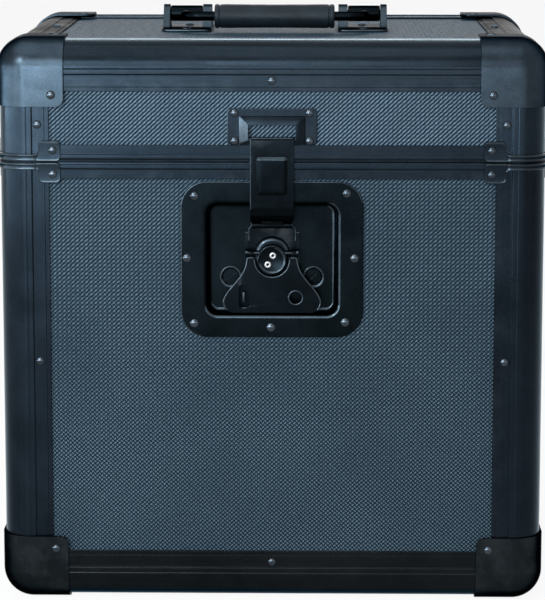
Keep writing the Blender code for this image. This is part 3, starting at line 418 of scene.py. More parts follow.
def calc(tree, operation, first, second=0.0, third=0.0):
    return node(tree, "ShaderNodeMath", {0: first, 1: second, 2: third}, operation=operation).outputs[0]


def stretch(tree, value, low, high, to_low, to_high):
    inputs = {"Value": value, "From Min": low, "From Max": high, "To Min": to_low, "To Max": to_high}
    return node(tree, "ShaderNodeMapRange", inputs, interpolation_type="SMOOTHSTEP").outputs[0]


def blend_colour(tree, share, first, second):
    """A colour between two others; each is a tuple or a socket."""
    mixed = node(tree, "ShaderNodeMix", data_type="RGBA")
    for key, value in ((0, share), (6, first), (7, second)):
        if isinstance(value, bpy.types.NodeSocket):
            tree.links.new(value, mixed.inputs[key])
        else:
            mixed.inputs[key].default_value = value if key == 0 else (*value, 1)
    return mixed.outputs[2]


def grain(tree, where, scale, detail=3.0, roughness=0.5):
    inputs = {"Vector": where, "Scale": scale, "Detail": detail, "Roughness": roughness}
    return node(tree, "ShaderNodeTexNoise", inputs).outputs["Fac"]


def start_material(name, colour):
    made = bpy.data.materials.new(name)
    made.use_nodes = True
    made.diffuse_color = (*colour, 1)
    tree = made.node_tree
    shader = tree.nodes["Principled BSDF"]
    where = node(tree, "ShaderNodeTexCoord").outputs["Object"]
    return made, tree, shader, where


SOCKETS = {
    "colour": "Base Color", "roughness": "Roughness", "normal": "Normal", "metallic": "Metallic",
    "specular": "Specular IOR Level", "graze": "Specular Tint",
}


def feed(tree, shader, **sockets):
    """Link sockets into the shader, and set plain numbers and colours on it."""
    for key, value in sockets.items():
        if isinstance(value, bpy.types.NodeSocket):
            tree.links.new(value, shader.inputs[SOCKETS[key]])
        else:
            shader.inputs[SOCKETS[key]].default_value = value


def patchy(tree, where, scale, detail, low, high):
    """A value that wanders between two bounds."""
    return stretch(tree, grain(tree, where, scale, detail), 0.3, 0.7, low, high)


def shifted(tree, where, reach):
    """The place moved a little by a fine noise."""
    noise = node(tree, "ShaderNodeTexNoise", {"Vector": where, "Scale": 420.0, "Detail": 2.0}).outputs["Color"]
    centred = node(tree, "ShaderNodeVectorMath", {0: noise, 1: (0.5, 0.5, 0.5)}, operation="SUBTRACT").outputs[0]
    scaled = node(tree, "ShaderNodeVectorMath", {0: centred, "Scale": reach}, operation="SCALE").outputs[0]
    return node(tree, "ShaderNodeVectorMath", {0: where, 1: scaled}, operation="ADD").outputs[0]


def tinted(colour, share):
    return tuple(value * share for value in colour)


def weave_material(name, across, up, lead_and_highlight, strand, specular=0.14):
    """Board skin with an embossed diagonal weave, drawn in the plane of two axes.

    The lead, 0 to 1, lays the rising strands over the falling ones and paints them lighter and the falling ones darker:
    a painted highlight of light from the upper left. Four numbers blend it in upwards: two heights in metres and the
    lead at each.
    """
    dark = (0.0012, 0.0042, 0.0085)
    made, tree, shader, where = start_material(name, strand)
    parts = node(tree, "ShaderNodeSeparateXYZ", {"Vector": shifted(tree, where, 0.0006)})
    a = calc(tree, "DIVIDE", parts.outputs[across], WEAVE_ACROSS)
    b = calc(tree, "DIVIDE", parts.outputs[up], WEAVE_UP)
    if isinstance(lead_and_highlight, tuple):
        lead_and_highlight = stretch(tree, parts.outputs[up], *lead_and_highlight)
    rising = calc(tree, "SUBTRACT", a, b)
    falling = calc(tree, "ADD", a, b)
    # Painted highlight: the lead flattens the waves and sinks the falling strands, so the rising ones read lighter.
    depth = calc(tree, "MULTIPLY_ADD", lead_and_highlight, -0.26, 0.34)
    heights = []
    for along, over, sign in ((falling, rising, 1.0), (rising, falling, -1.0)):
        crest = calc(tree, "ABSOLUTE", calc(tree, "COSINE", calc(tree, "MULTIPLY", over, math.pi)))
        row = calc(tree, "FLOOR", calc(tree, "ADD", over, 0.5))
        wave = calc(tree, "COSINE", calc(tree, "MULTIPLY", calc(tree, "ADD", along, row), math.pi))
        swing = calc(tree, "MULTIPLY", calc(tree, "MULTIPLY", wave, sign), depth)
        level = calc(tree, "SUBTRACT", 1.0, depth)
        if sign < 0:
            level = calc(tree, "MULTIPLY_ADD", lead_and_highlight, -0.30, level)
        heights.append(calc(tree, "MULTIPLY", crest, calc(tree, "ADD", swing, level)))
    height = calc(tree, "MAXIMUM", heights[0], heights[1])
    shade = stretch(tree, height, 0.56, 0.97, 0.0, 1.0)
    patches = patchy(tree, where, 14.0, 4.0, 0.0, 1.0)
    tint = blend_colour(tree, patches, tinted(strand, 0.84), tinted(strand, 1.1))
    colour = blend_colour(tree, shade, dark, tint)
    rough = patchy(tree, where, 260.0, 3.0, 0.40, 0.56)
    relief = calc(tree, "MULTIPLY_ADD", grain(tree, where, 2600.0, 2.0), 0.10, height)
    bump = node(tree, "ShaderNodeBump", {"Height": relief, "Distance": WEAVE_RELIEF, "Strength": 1.0})
    feed(tree, shader, colour=colour, roughness=rough, normal=bump.outputs[0])
    feed(tree, shader, specular=specular, graze=(0.45, 0.75, 1.0, 1))
    return made


def metal_material(name, low, high, rough, graze=(1.0, 1.0, 1.0), wear=0.2, streak=None):
    """Satin metal: faint clouds, fine relief, paler worn edges, and streaks along one axis where it is extruded."""
    made, tree, shader, where = start_material(name, high)
    spread = [90.0, 90.0, 90.0]
    if streak is not None:
        spread = [1500.0, 1500.0, 1500.0]
        spread[streak] = 5.0
    lined = node(tree, "ShaderNodeMapping", {"Vector": where, "Scale": spread}).outputs[0]
    lines = grain(tree, lined, 1.0)
    both = calc(tree, "MULTIPLY_ADD", lines, 0.30, calc(tree, "MULTIPLY", grain(tree, where, 9.0), 0.45))
    both = calc(tree, "MULTIPLY_ADD", grain(tree, where, 700.0, 2.0), 0.25, both)
    colour = blend_colour(tree, stretch(tree, both, 0.36, 0.64, 0.0, 1.0), low, high)
    edge = node(tree, "ShaderNodeNewGeometry").outputs["Pointiness"]
    scuffs = stretch(tree, grain(tree, where, 70.0, 5.0, 0.6), 0.42, 0.66, 0.05, 0.9)
    worn = calc(tree, "MULTIPLY", stretch(tree, edge, 0.54, 0.66, 0.0, wear), scuffs)
    colour = blend_colour(tree, worn, colour, tuple(value * 2.4 + 0.02 for value in high))
    roughness = patchy(tree, where, 28.0, 4.0, rough - 0.04, rough + 0.06)
    fine = grain(tree, where, 2200.0, 2.0)
    relief = calc(tree, "MULTIPLY_ADD", lines, 0.8 if streak is not None else 0.3, fine)
    bump = node(tree, "ShaderNodeBump", {"Height": relief, "Distance": METAL_RELIEF, "Strength": 0.8})
    feed(tree, shader, colour=colour, roughness=roughness, normal=bump.outputs[0], metallic=1.0, graze=(*graze, 1))
    return made


def plastic_material(name, colour, rough, scale, relief):
    """Moulded plastic with a leathery grain and a slightly uneven gloss."""
    made, tree, shader, where = start_material(name, colour)
    cells = node(tree, "ShaderNodeTexVoronoi", {"Vector": where, "Scale": scale}, feature="F1").outputs["Distance"]
    tone = blend_colour(tree, patchy(tree, where, 40.0, 4.0, 0.0, 1.0), tinted(colour, 0.75), tinted(colour, 1.3))
    roughness = patchy(tree, where, 120.0, 3.0, rough - 0.07, rough + 0.07)
    bump = node(tree, "ShaderNodeBump", {"Height": cells, "Distance": relief, "Strength": 0.7})
    feed(tree, shader, colour=tone, roughness=roughness, normal=bump.outputs[0], specular=0.15)
    return made


def foam_material(name, colour):
    """Close-celled foam: matt, pitted and mottled."""
    made, tree, shader, where = start_material(name, colour)
    cells = node(tree, "ShaderNodeTexVoronoi", {"Vector": where, "Scale": 1300.0}, feature="F1").outputs["Distance"]
    clouds = grain(tree, where, 30.0, 5.0)
    mottle = stretch(tree, calc(tree, "MULTIPLY_ADD", cells, 0.5, clouds), 0.4, 1.1, 0.0, 1.0)
    tone = blend_colour(tree, mottle, tinted(colour, 0.6), tinted(colour, 1.4))
    bump = node(tree, "ShaderNodeBump", {"Height": cells, "Distance": 0.0003, "Strength": 0.8})
    roughness = stretch(tree, clouds, 0.3, 0.7, 0.88, 0.98)
    feed(tree, shader, colour=tone, roughness=roughness, normal=bump.outputs[0], specular=0.2)
    return made


STRAND = (0.066, 0.090, 0.106)
# The lid's strands are a lighter copy of the body's: painted light on the lid.
LIT_LID_STRAND = (0.098, 0.133, 0.168)
# On the body the painted highlight along the rising strands grows from low down to high up.
BODY_LEAD_AND_HIGHLIGHT = (0.06, 0.30, 0.08, 0.85)
BOARD = {
    "body Y": weave_material("board_front", 0, 2, BODY_LEAD_AND_HIGHLIGHT, STRAND),
    "body X": weave_material("board_side", 1, 2, BODY_LEAD_AND_HIGHLIGHT, STRAND),
    "body Z": weave_material("board_bottom", 0, 1, 0.0, STRAND),
    # The lid's front and sides take the lighter strands and the full painted highlight on the rising strands.
    "lid Y": weave_material("lid_board_front", 0, 2, 1.0, LIT_LID_STRAND),
    "lid X": weave_material("lid_board_side", 1, 2, 1.0, LIT_LID_STRAND),
    "lid Z": weave_material("lid_board_top", 0, 1, 0.4, (0.056, 0.130, 0.190), 0.028),
}

# Tones of the metals, dark and light, and how strongly they mirror at a grazing angle
SATIN = ((0.0056, 0.0087, 0.0122), (0.0096, 0.0140, 0.0193))
BLACK = ((0.0022, 0.0034, 0.0044), (0.0042, 0.0062, 0.0078))
CLEAR = (0.84, 0.94, 1.0)
DULL = (0.45, 0.55, 0.62)
FLAT = (0.20, 0.22, 0.24)
ANODISED = {}
# The lid's bars and uprights take lighter copies of the satin tones, painted light on the lid, and the body's front and
# back foot bars a darker copy, painted shade low down.
for key, axis, tones, graze in (
    ("rim", 0, SATIN, CLEAR),
    ("side", 1, SATIN, (0.19, 0.19, 0.19)),
    ("upright", 2, SATIN, CLEAR),
    ("foot", 0, ((0.0056, 0.0068, 0.0078), (0.0090, 0.0108, 0.0122)), (0.45, 0.50, 0.55)),
    ("lit_lid_bar", 0, ((0.0070, 0.0107, 0.0146), (0.0120, 0.0172, 0.0231)), CLEAR),
    ("lid_upright", 2, ((0.0086, 0.0134, 0.0186), (0.0147, 0.0215, 0.0294)), CLEAR),
):
    ANODISED[key] = metal_material("anodised_" + key, *tones, 0.25, graze, 0.12, axis)
STEEL = metal_material("black_steel_satin", *BLACK, 0.25, (0.20, 0.23, 0.25), 0.6)
DISH = metal_material("dish_steel_satin", (0.0022, 0.0036, 0.0046), (0.0042, 0.0066, 0.0082), 0.27, DULL, 0.6)
ARM = metal_material("strap_steel_satin", *BLACK, 0.22, DULL, 0.6)
KEEPER = metal_material("keeper_steel_satin", (0.0060, 0.0090, 0.0125), (0.0110, 0.0160, 0.0215), 0.24, DULL, 0.6)
# A lighter copy for the lid's ball corners, painted light, and a darker copy for the body's, painted shade low down.
CORNER = {
    "lid": metal_material("corner_steel", (0.0165, 0.0240, 0.0320), (0.0275, 0.0385, 0.0495), 0.29, FLAT),
    "case_body": metal_material("corner_steel_shaded_foot", (0.0062, 0.0085, 0.0098), (0.0104, 0.0137, 0.0155), 0.29, FLAT),
}
CLAMP = metal_material("clamp_steel", (0.0060, 0.0090, 0.0125), (0.0105, 0.0150, 0.0200), 0.20, DULL, 0.6)
RIVET = metal_material("rivet_steel", (0.026, 0.033, 0.041), (0.052, 0.063, 0.075), 0.15, (0.4, 0.5, 0.6))
# Paler steel laid on rounded edges, beads and the padlock staple as a painted highlight
PAINTED_HIGHLIGHT_STEEL = metal_material("painted_highlight_steel", (0.020, 0.027, 0.033), (0.038, 0.050, 0.060), 0.24)
BRACKET = metal_material("cast_bracket_steel", (0.018, 0.025, 0.031), (0.034, 0.046, 0.056), 0.26, (0.12, 0.14, 0.16))
BARE = metal_material("bare_steel", (0.20, 0.21, 0.22), (0.34, 0.35, 0.36), 0.26, wear=0.6)
FOAM = foam_material("lining_foam_fine", (0.026, 0.026, 0.028))
GRIP = plastic_material("grip_moulded", (0.006, 0.010, 0.014), 0.46, 900.0, 0.00012)

# What the extrusions are shown with, and a bound that no face's direction passes
EXTRUSION = {"slot": "black_anodised", "angle": 38}
NEVER = 2


def refine(name, source, finish, body, ease=0.0, rounds=2, angle=50, slot="black_steel", matrix=None):
    """Show a finer shape in place of the CAD node of that name."""
    return show(name + "_fine", source, finish, body, [name], ease, rounds, angle, matrix)


def group(name, makers, body, finish=RIVET):
    """Show several small solids as one piece."""
    return show(name, merged(*makers), finish, body, angle=60)


def flipped(points):
    """The same outline mirrored across the corner's diagonal."""
    return [(b, a) for a, b in reversed(points)]


def mirrored(points):
    """The other half of an outline, across the middle plane."""
    return [(-a, b) for a, b in reversed(points)]


def both_sides(inner, outer):
    """The stretch between two distances from the middle, on the left and on the right."""
    return ((-outer, -inner), (inner, outer))


def edge_profile():
    """Cross-section of the edge extrusion, from the case's corner along two faces."""
    lip = EDGE_STEP + LIP_DROP
    half = [
        (EDGE_LEG, SKIN), (EDGE_LEG, lip), (EDGE_LEG - LIP_WIDTH, lip), (EDGE_LEG - LIP_WIDTH, EDGE_STEP),
        (EDGE_RADIUS + RIB_WIDTH + RIB_SLOPE, EDGE_STEP), (EDGE_RADIUS + RIB_WIDTH, 0), (EDGE_RADIUS + RIB_SLOPE, 0),
        (EDGE_RADIUS + RIB_SLOPE * 0.5, 0.18), (EDGE_RADIUS - RIB_SLOPE, 0.06),
    ]
    half = soft(half, [0, 0.3, 0.2, 0.3, 0.3, 0.5, 0.2, 0.1, 0], 3, closed=False)
    middle = (EDGE_RADIUS, EDGE_RADIUS)
    outer = arc(middle, EDGE_RADIUS, 268, 182, 28)
    inner = arc(middle, EDGE_RADIUS - SKIN, 180, 270, 8)
    wall, tip = WEB_PLACE + WEB_WALL, WEB_PLACE + FLANGE_LENGTH
    web = [(SKIN, wall), (CHANNEL_BACK, wall), (CHANNEL_BACK, tip), (RIM_BACK, tip), (RIM_BACK, WEB_PLACE)]
    web.append((SKIN, WEB_PLACE))
    return half + outer + flipped(half) + web + inner + flipped(web)


def upright_mesh(length):
    """An upright whose web and channel stop short of the rim, at its far end."""
    near, far = WEB_PLACE - TINY, WEB_PLACE + FLANGE_LENGTH + BEYOND
    shallow, deep = SKIN + FIT / 2, RIM_BACK + BEYOND
    low, high = length - RIM_HEIGHT - FIT, length + BEYOND
    cuts = (box((near, shallow, low), (far, deep, high)), box((shallow, near, low), (deep, far, high)))
    return fused(prism(edge_profile(), 0, length, "Z"), cuts=cuts)


def make_extrusions():
    uprights = {
        "case_body": upright_mesh(SEAM - FIT - FLOOR - BAR_INSET),
        "lid": upright_mesh(ROOF - SEAM - FIT - BAR_INSET),
    }
    for label, (sx, sy) in CORNERS.items():
        for body, prefix, level, sz in HALVES:
            place = corner_matrix(sx, sy, sz, level - sz * BAR_INSET)
            kind = prefix + "upright"
            refine(kind + "_" + label, uprights[body], ANODISED[kind], body, matrix=place, **EXTRUSION)
    across = meshed(prism(edge_profile(), 0, CASE_WIDTH - 2 * BAR_INSET, "Z"))
    along = meshed(prism(edge_profile(), 0, CASE_DEPTH - 2 * BAR_INSET, "Z"))
    right, back = Vector((1, 0, 0)), Vector((0, 1, 0))
    for body, prefix, level, sz in HALVES:
        # Lighter copy on the lid and darker copy at the foot: painted light and painted shade.
        bar = ANODISED["lit_lid_bar" if prefix else "foot"]
        for label, start, face_way, run_way, mesh, finish in (
            ("front", (-HALF_WIDTH + BAR_INSET, FRONT, level), back, right, across, bar),
            ("back", (-HALF_WIDTH + BAR_INSET, REAR, level), -back, right, across, bar),
            ("left", (-HALF_WIDTH, FRONT + BAR_INSET, level), right, back, along, ANODISED["side"]),
            ("right", (HALF_WIDTH, FRONT + BAR_INSET, level), -right, back, along, ANODISED["side"]),
        ):
            place = basis(face_way, Vector((0, 0, -sz)), run_way, start)
            refine(prefix + "edge_" + label, mesh, finish, body, matrix=place, **EXTRUSION)


def ball_block(offset, radius, reach, tip):
    """A cube from the case's corner with its three near edges and the corner itself rounded."""
    maker = bmesh.new()
    bmesh.ops.create_cube(maker, size=1)
    size = (reach - offset) * MM
    middle = (offset + (reach - offset) / 2) * MM
    bmesh.ops.scale(maker, verts=maker.verts, vec=(size, size, size))
    bmesh.ops.translate(maker, verts=maker.verts, vec=(middle, middle, middle))
    for limit, over, width, steps in ((reach - TINY, 1, tip, 8), (offset + TINY, -1, radius, 24)):
        picked = []
        for edge in maker.edges:
            centre = (edge.verts[0].co + edge.verts[1].co) / 2
            if sum(value * over > limit * over * MM for value in centre) == 2:
                picked.append(edge)
        if width:
            bmesh.ops.bevel(
                maker, geom=picked, offset=width * MM, segments=steps, profile=0.5, affect="EDGES", clamp_overlap=False
            )
    return maker


def corner_faces(along, front, flank):
    """A place and an outward way on each of the three faces at a corner, in its own axes."""
    return (
        ((along, front, along), (0, -1, 0)),
        ((along, along, flank), (0, 0, -1)),
        ((flank, along, along), (-1, 0, 0)),
    )


def make_ball_corners():
    outer = -FIT - BALL_WALL
    dent = [(DIMPLE_RADIUS + 1, 1), (DIMPLE_RADIUS, 0), (DIMPLE_RADIUS - 0.4, -0.3)]
    dent += [(DIMPLE_RADIUS - 1.2, -DIMPLE_DEPTH), (0, -DIMPLE_DEPTH)]
    cutters = [ball_block(-FIT, EDGE_RADIUS + FIT, BALL_REACH + BEYOND, 0)]
    cutters += [lathe(dent, place, way, 32) for place, way in corner_faces(BALL_RIVET, outer, outer)[1:]]
    mesh = fused(ball_block(outer, EDGE_RADIUS + FIT + BALL_WALL, BALL_REACH, BALL_TIP_RADIUS), cuts=cutters)
    for label, (sx, sy) in CORNERS.items():
        for body, prefix, level, sz in HALVES:
            place = corner_matrix(sx, sy, sz, level)
            refine(prefix + "ball_" + label, mesh, CORNER[body], body, ease=0.35, matrix=place)


def clamp_stations():
    """Along one leg from the tab's end to the edge's rounding: place, lowest and highest height."""
    turns = [math.radians(90 * k / 8) for k in range(9)]
    inner = TAB_START + TAB_RADIUS
    stations = []
    for angle in turns:
        drop = TAB_RADIUS * (1 - math.sin(angle))
        stations.append((TAB_END - TAB_RADIUS * (1 - math.cos(angle)), TAB_LOW + drop, TAB_HIGH - drop))
    for angle in turns:
        stations.append((inner - TAB_RADIUS * math.sin(angle), TAB_LOW, TAB_HIGH - TAB_RADIUS * (1 - math.cos(angle))))
    for k, angle in enumerate(turns):
        low = TAB_LOW + (CLAMP_LOW - TAB_LOW) * (k / 8)
        along = TAB_START - TAB_RADIUS * (1 - math.cos(angle))
        stations.append((along, low, CLAMP_HIGH + TAB_RADIUS * (1 - math.sin(angle))))
    stations.append((EDGE_RADIUS + 2, CLAMP_LOW, CLAMP_HIGH))
    return stations


def clamp_section(low, high, spot, normal, inner, outer):
    """A strip's section with rolled edges, standing on a spot of the outline."""
    flat = outer - CLAMP_RIDGE
    rims = ((0, flat - 0.5), (0.25, flat + 0.1), (0.6, outer), (1, outer - 0.1), (1.5, flat))
    face = [(low + edge, reach) for edge, reach in rims]
    face += [(high - edge, reach) for edge, reach in reversed(rims)]
    face += [(high, inner), (low, inner)]
    return [(spot[0] + normal[0] * reach, spot[1] + normal[1] * reach, height) for height, reach in face]


def make_clamps():
    band = (FIT, FIT + CLAMP_WALL)
    ramp = EDGE_RADIUS + 4.5
    legs = []
    for along, low, high in clamp_stations():
        share = min(1, max(0, (along - ramp) / (TAB_START - ramp)))
        share = share * share * (3 - 2 * share)
        outer = max(band[1] + (TAB_WALL - band[1]) * share, TAB_WALL + CLAMP_RIDGE * share)
        legs.append(clamp_section(low, high, (along, 0), (0, -1), band[0] * (1 - share), outer))
    turns = []
    for k in range(25):
        angle = math.radians(270 - 90 * k / 24)
        normal = (math.cos(angle), math.sin(angle))
        spot = (EDGE_RADIUS + EDGE_RADIUS * normal[0], EDGE_RADIUS + EDGE_RADIUS * normal[1])
        turns.append(clamp_section(CLAMP_LOW, CLAMP_HIGH, spot, normal, *band))
    other_leg = [[(b, a, h) for a, b, h in loop] for loop in reversed(legs)]
    mesh = meshed(loft(legs + turns + other_leg))
    for label, (sx, sy) in CORNERS.items():
        for body, prefix, level, sz in HALVES:
            place = corner_matrix(sx, sy, -sz, SEAM)
            made = refine(prefix + "clamp_" + label, mesh, CLAMP, body, matrix=place)
            # Painted highlight: the rolled edges that slope up or down take the paler steel.
            made.data.materials.append(PAINTED_HIGHLIGHT_STEEL)
            for face in made.data.polygons:
                if 0.2 < abs(face.normal.z) < 0.98:
                    face.material_index = 1


def make_rims():
    """The rim frames: a hidden channel round the seam and a beaded band on each side."""
    base, tongue = SEAM - FIT, SKIN + 2.5
    roof, groove = SEAM + FIT, SEAM + FIT + 5
    body_ring = [
        (SKIN + FIT, base - 1.2), (SKIN + FIT, base), (tongue, base), (tongue, SEAM + 3.7), (tongue + 1.6, SEAM + 3.7),
        (tongue + 1.6, base), (RIM_BACK, base), (RIM_BACK, base - RIM_HEIGHT), (CHANNEL_BACK, base - RIM_HEIGHT),
        (CHANNEL_BACK, SEAM - 1.5),
    ]
    lid_ring = [
        (SKIN + FIT, groove), (CHANNEL_BACK, groove), (CHANNEL_BACK, roof), (RIM_BACK, roof),
        (RIM_BACK, roof + RIM_HEIGHT), (CHANNEL_BACK, roof + RIM_HEIGHT), (CHANNEL_BACK, groove + 1.2),
        (SKIN + FIT, groove + 1.2),
    ]
    deep = SKIN + 3.3
    proud = EDGE_STEP - 0.5
    reach_x, reach_y = HALF_WIDTH - BAR_INSET, HALF_DEPTH - BAR_INSET
    for name, ring, side, low, body in (
        ("rim_body", body_ring, -1, 0.6, "case_body"),
        ("rim_lid", lid_ring, 1, 5.6, "lid"),
    ):
        loops = []
        for sx, sy, start in ((1, 1, 0), (-1, 1, 90), (-1, -1, 180), (1, -1, 270)):
            x, y = sx * (HALF_WIDTH - EDGE_RADIUS), sy * (HALF_DEPTH - EDGE_RADIUS)
            for k in range(17):
                angle = math.radians(start + 90 * k / 16)
                reach = [(EDGE_RADIUS - depth, height) for depth, height in ring]
                loops.append([(x + r * math.cos(angle), y + r * math.sin(angle), h) for r, h in reach])
        band = [
            (EDGE_STEP, FIT), (EDGE_STEP, 1.5), (proud, 2.1), (proud, 4.5), (EDGE_STEP, 5.1), (EDGE_STEP, 11.3),
            (SKIN, 11.3), (SKIN, low + 0.6), (deep, low + 0.6), (deep, low), (SKIN, low), (SKIN, FIT),
        ]
        radii = [0.3, 0.2, 0.4, 0.4, 0.2, 0.3, 0, 0, 0, 0, 0, 0]
        band = [(depth, SEAM + side * height) for depth, height in soft(band, radii, 3)]
        sides = []
        for half, reach, axis in ((HALF_DEPTH, reach_x, "X"), (HALF_WIDTH, reach_y, "Y")):
            for way in (-1, 1):
                outline = [(way * (half - depth), height) for depth, height in band]
                sides.append(prism(outline, -reach, reach, axis))
        refine(name, fused(loft(loops, ring=True), joins=sides), ANODISED["rim"], body, **EXTRUSION)


def make_linings():
    """Foam pads glued inside the body and the lid, with soft top edges."""
    near, foam = RIM_BACK + FIT, 5.5
    for name, body, mouth, bottom, way in (
        ("lining_body", "case_body", SEAM - 2 * FIT, FLOOR + near, 1),
        ("lining_lid", "lid", SEAM + 2 * FIT, ROOF - near, -1),
    ):
        inner = near + foam
        ease = mouth - way * 0.6
        foot = bottom + way * (foam + 3)
        stages = [(near + 1, bottom), (near, bottom + way), (near, mouth - way * 2), (near + 0.6, ease)]
        stages += [(near + 2, mouth), (near + 3.5, mouth), (near + 4.9, ease), (inner, mouth - way * 2)]
        for k in range(1, 7):
            share = k / 7
            stages.append((inner + 0.4 * math.sin(math.pi * share), mouth + (foot - mouth) * share))
        stages += [(inner, foot), (inner + 0.8, bottom + way * (foam + 0.8)), (inner + 3, bottom + way * foam)]
        stages = [(-inset, height) for inset, height in stages]
        pad = loft(stacked((HALF_WIDTH, HALF_DEPTH, EDGE_RADIUS), stages, (0, 0), "Z", 10))
        cuts = []
        if body == "case_body":
            hole = grown(*MOUTH, DISH_BACK - DISH_FLOOR + FIT, (0, DISH_MIDDLE))
            cuts.append(prism(hole, FRONT + near - BEYOND, FRONT + DISH_BACK + 1.5, "Y"))
        made = show(name + "_pad", fused(pad, cuts=cuts), FOAM, body, [name], angle=60)


def make_dish():
    """The pressed dish: flange, pocket with rounded lip, finger wells with raised rims, link guides."""
    flange = (DISH_WIDTH / 2, DISH_HEIGHT / 2, DISH_RADIUS)
    wall = DISH_BACK - DISH_FLOOR
    front = [(4, DISH_FACE), (0.2, DISH_FACE), (-2.2, DISH_FLOOR), (-6, DISH_FLOOR)]
    back = [(-6, DISH_BACK), (-2.2 + wall, DISH_BACK), (wall, SKIN)]
    rim = [(0, SKIN), (0, DISH_FACE + 0.6), (-0.2, DISH_FACE + 0.2), (-0.6, DISH_FACE)]
    loops = []
    for shape, stages in ((MOUTH, back), (flange, rim), (MOUTH, soft(front, 2.4, 8, closed=False))):
        loops += stacked(shape, [(extra, FRONT + depth) for extra, depth in stages], (0, DISH_MIDDLE), steps=14)
    inside = FRONT + DISH_FLOOR + TINY
    guide = rounded((FRONT + LINK_FACE + 0.2, 224), (inside, 254), 0.6, 3)
    edge = [(WELL_RADIUS + 1.1, -0.3), (WELL_RADIUS + 1, 0.2), (WELL_RADIUS + 0.6, 0.7), (WELL_RADIUS + 0.1, 0.8)]
    edge += [(WELL_RADIUS - 0.6, 0.6), (0, 0.6)]
    dent = [(WELL_RADIUS - 0.2, 2), (WELL_RADIUS - 0.4, 0.4), (WELL_RADIUS - 1.2, -0.6), (0, -0.6)]
    joins = []
    cuts = [rod((0, SPINDLE_Z), 2.8, FRONT + DISH_FLOOR - BEYOND, FRONT + DISH_BACK + BEYOND, "Y")]
    rims = []
    for side, span in zip((-1, 1), both_sides(16.3, 18.1)):
        well = (side * WELL_SPREAD, FRONT + DISH_FLOOR, WELL_Z)
        joins += [prism(guide, *span, "X"), lathe(edge, well, (0, -1, 0), 40)]
        cuts.append(lathe(dent, well, (0, -1, 0), 40))
        ring = arc((side * WELL_SPREAD, WELL_Z), WELL_RADIUS + 0.6, 0, 360, 48)
        rims.append(bead(ring, FRONT + DISH_FLOOR - 0.7, 0.5))
    # Painted highlight: the dish's rounded edges that face up or left take the paler steel.
    paint_edge_highlights(refine("latch_dish", fused(loft(loops), joins, cuts), DISH, "case_body", angle=32))
    # The rims round the finger wells take the paler steel as a painted highlight.
    group("well_rims", rims, "case_body", PAINTED_HIGHLIGHT_STEEL)
    tongue = rounded((FRONT + WING_BACK + 0.4, STAPLE_LOW), (inside, STAPLE_LOW + 7.6), 1.2, 5)
    tip = prism(tongue, -SLOT_PLACE - 0.65, -SLOT_PLACE + 0.65, "X")
    # The padlock staple's tongue takes the paler steel of the painted highlights.
    show("padlock_staple", tip, PAINTED_HIGHLIGHT_STEEL, "case_body", ease=0.2)


def make_rotor():
    """The turning hub: a stepped dome, its recessed disc, the ears, the cam behind and the washer inside."""
    back = FRONT + HUB_BACK
    dome = [(12, 0), (12, 0.6), (11.9, 1.1), (11.6, 1.7), (11.1, 2.3), (10.4, 2.8), (9.6, 3.1), (8.8, 3.2), (0, 3.2)]
    hub = lathe(dome, (0, back, SPINDLE_Z), (0, -1, 0), 72)
    disc = [(10, 0.4), (10, 7.5), (9.9, 8.1), (9.5, 8.5), (8.8, 8.6), (8.3, 8.4), (8, 8.1), (7.8, DISC_FACE)]
    disc.append((0, DISC_FACE))
    disc = lathe(disc, (0, back, DISC_Z), (0, -1, 0), 72)
    axis = (FRONT + WING_AXIS_DEPTH, WING_AXIS_Z)
    foot = FRONT + HUB_FACE + 0.8
    ear = arc(axis, 2.2, 90, 270, 12) + [(foot, WING_AXIS_Z - 2.2), (foot, WING_AXIS_Z + 2.2)]
    bar = box((-17.7, FRONT + HUB_FACE + 0.2, WING_AXIS_Z - 2.6), (17.7, back - 0.2, WING_AXIS_Z + 2.6))
    cam_back = FRONT + LINK_BACK + 0.15
    joins = [bar, disc, rod(axis, 1.2, -17.3, 17.3, "X"), prism(ear, 16.2, 17.7, "X"), prism(ear, -17.7, -16.2, "X")]
    joins += [rod((0, CAM_Z), 6.5, back - TINY, cam_back, "Y", 48)]
    joins += [rod((0, SPINDLE_Z), 2.5, cam_back - TINY, FRONT + 13.5, "Y")]
    joins += [rod((0, SPINDLE_Z), 4.5, FRONT + 13, FRONT + 13.9, "Y")]
    # Painted highlight: the rotor's rounded edges that face up or left take the paler steel.
    paint_edge_highlights(refine("latch_rotor", fused(hub, joins), STEEL, "latch_rotor", ease=0.2))
    stud = [(2.4, -0.2), (2.4, 0.3), (2.1, 0.8), (1.5, 1), (1, 0.9), (0.8, 0.6), (0.7, 0), (0, 0)]
    studs = [lathe(stud, (x, back - DISC_FACE, z), (0, -1, 0), 28) for x, z in ((0.6, 239.2), (-2.8, 233.1))]
    group("rotor_studs", studs, "latch_rotor", BARE)


def wing_side(steps=24):
    """The butterfly's flared side from its head down to the rounded corner, as (across, height)."""
    top = WING_AXIS_Z - 2.4
    side = []
    for k in range(steps + 1):
        late = (k / steps) ** 1.25
        swell = late * late * (3 - 2 * late)
        across = WING_HEAD + (WING_HALF - WING_HEAD) * swell
        side.append((across, top - (top - WING_END - WING_CORNER) * k / steps))
    corner = arc((WING_HALF - WING_CORNER, WING_END + WING_CORNER), WING_CORNER, 0, -90, 12)
    return side + corner[1:]


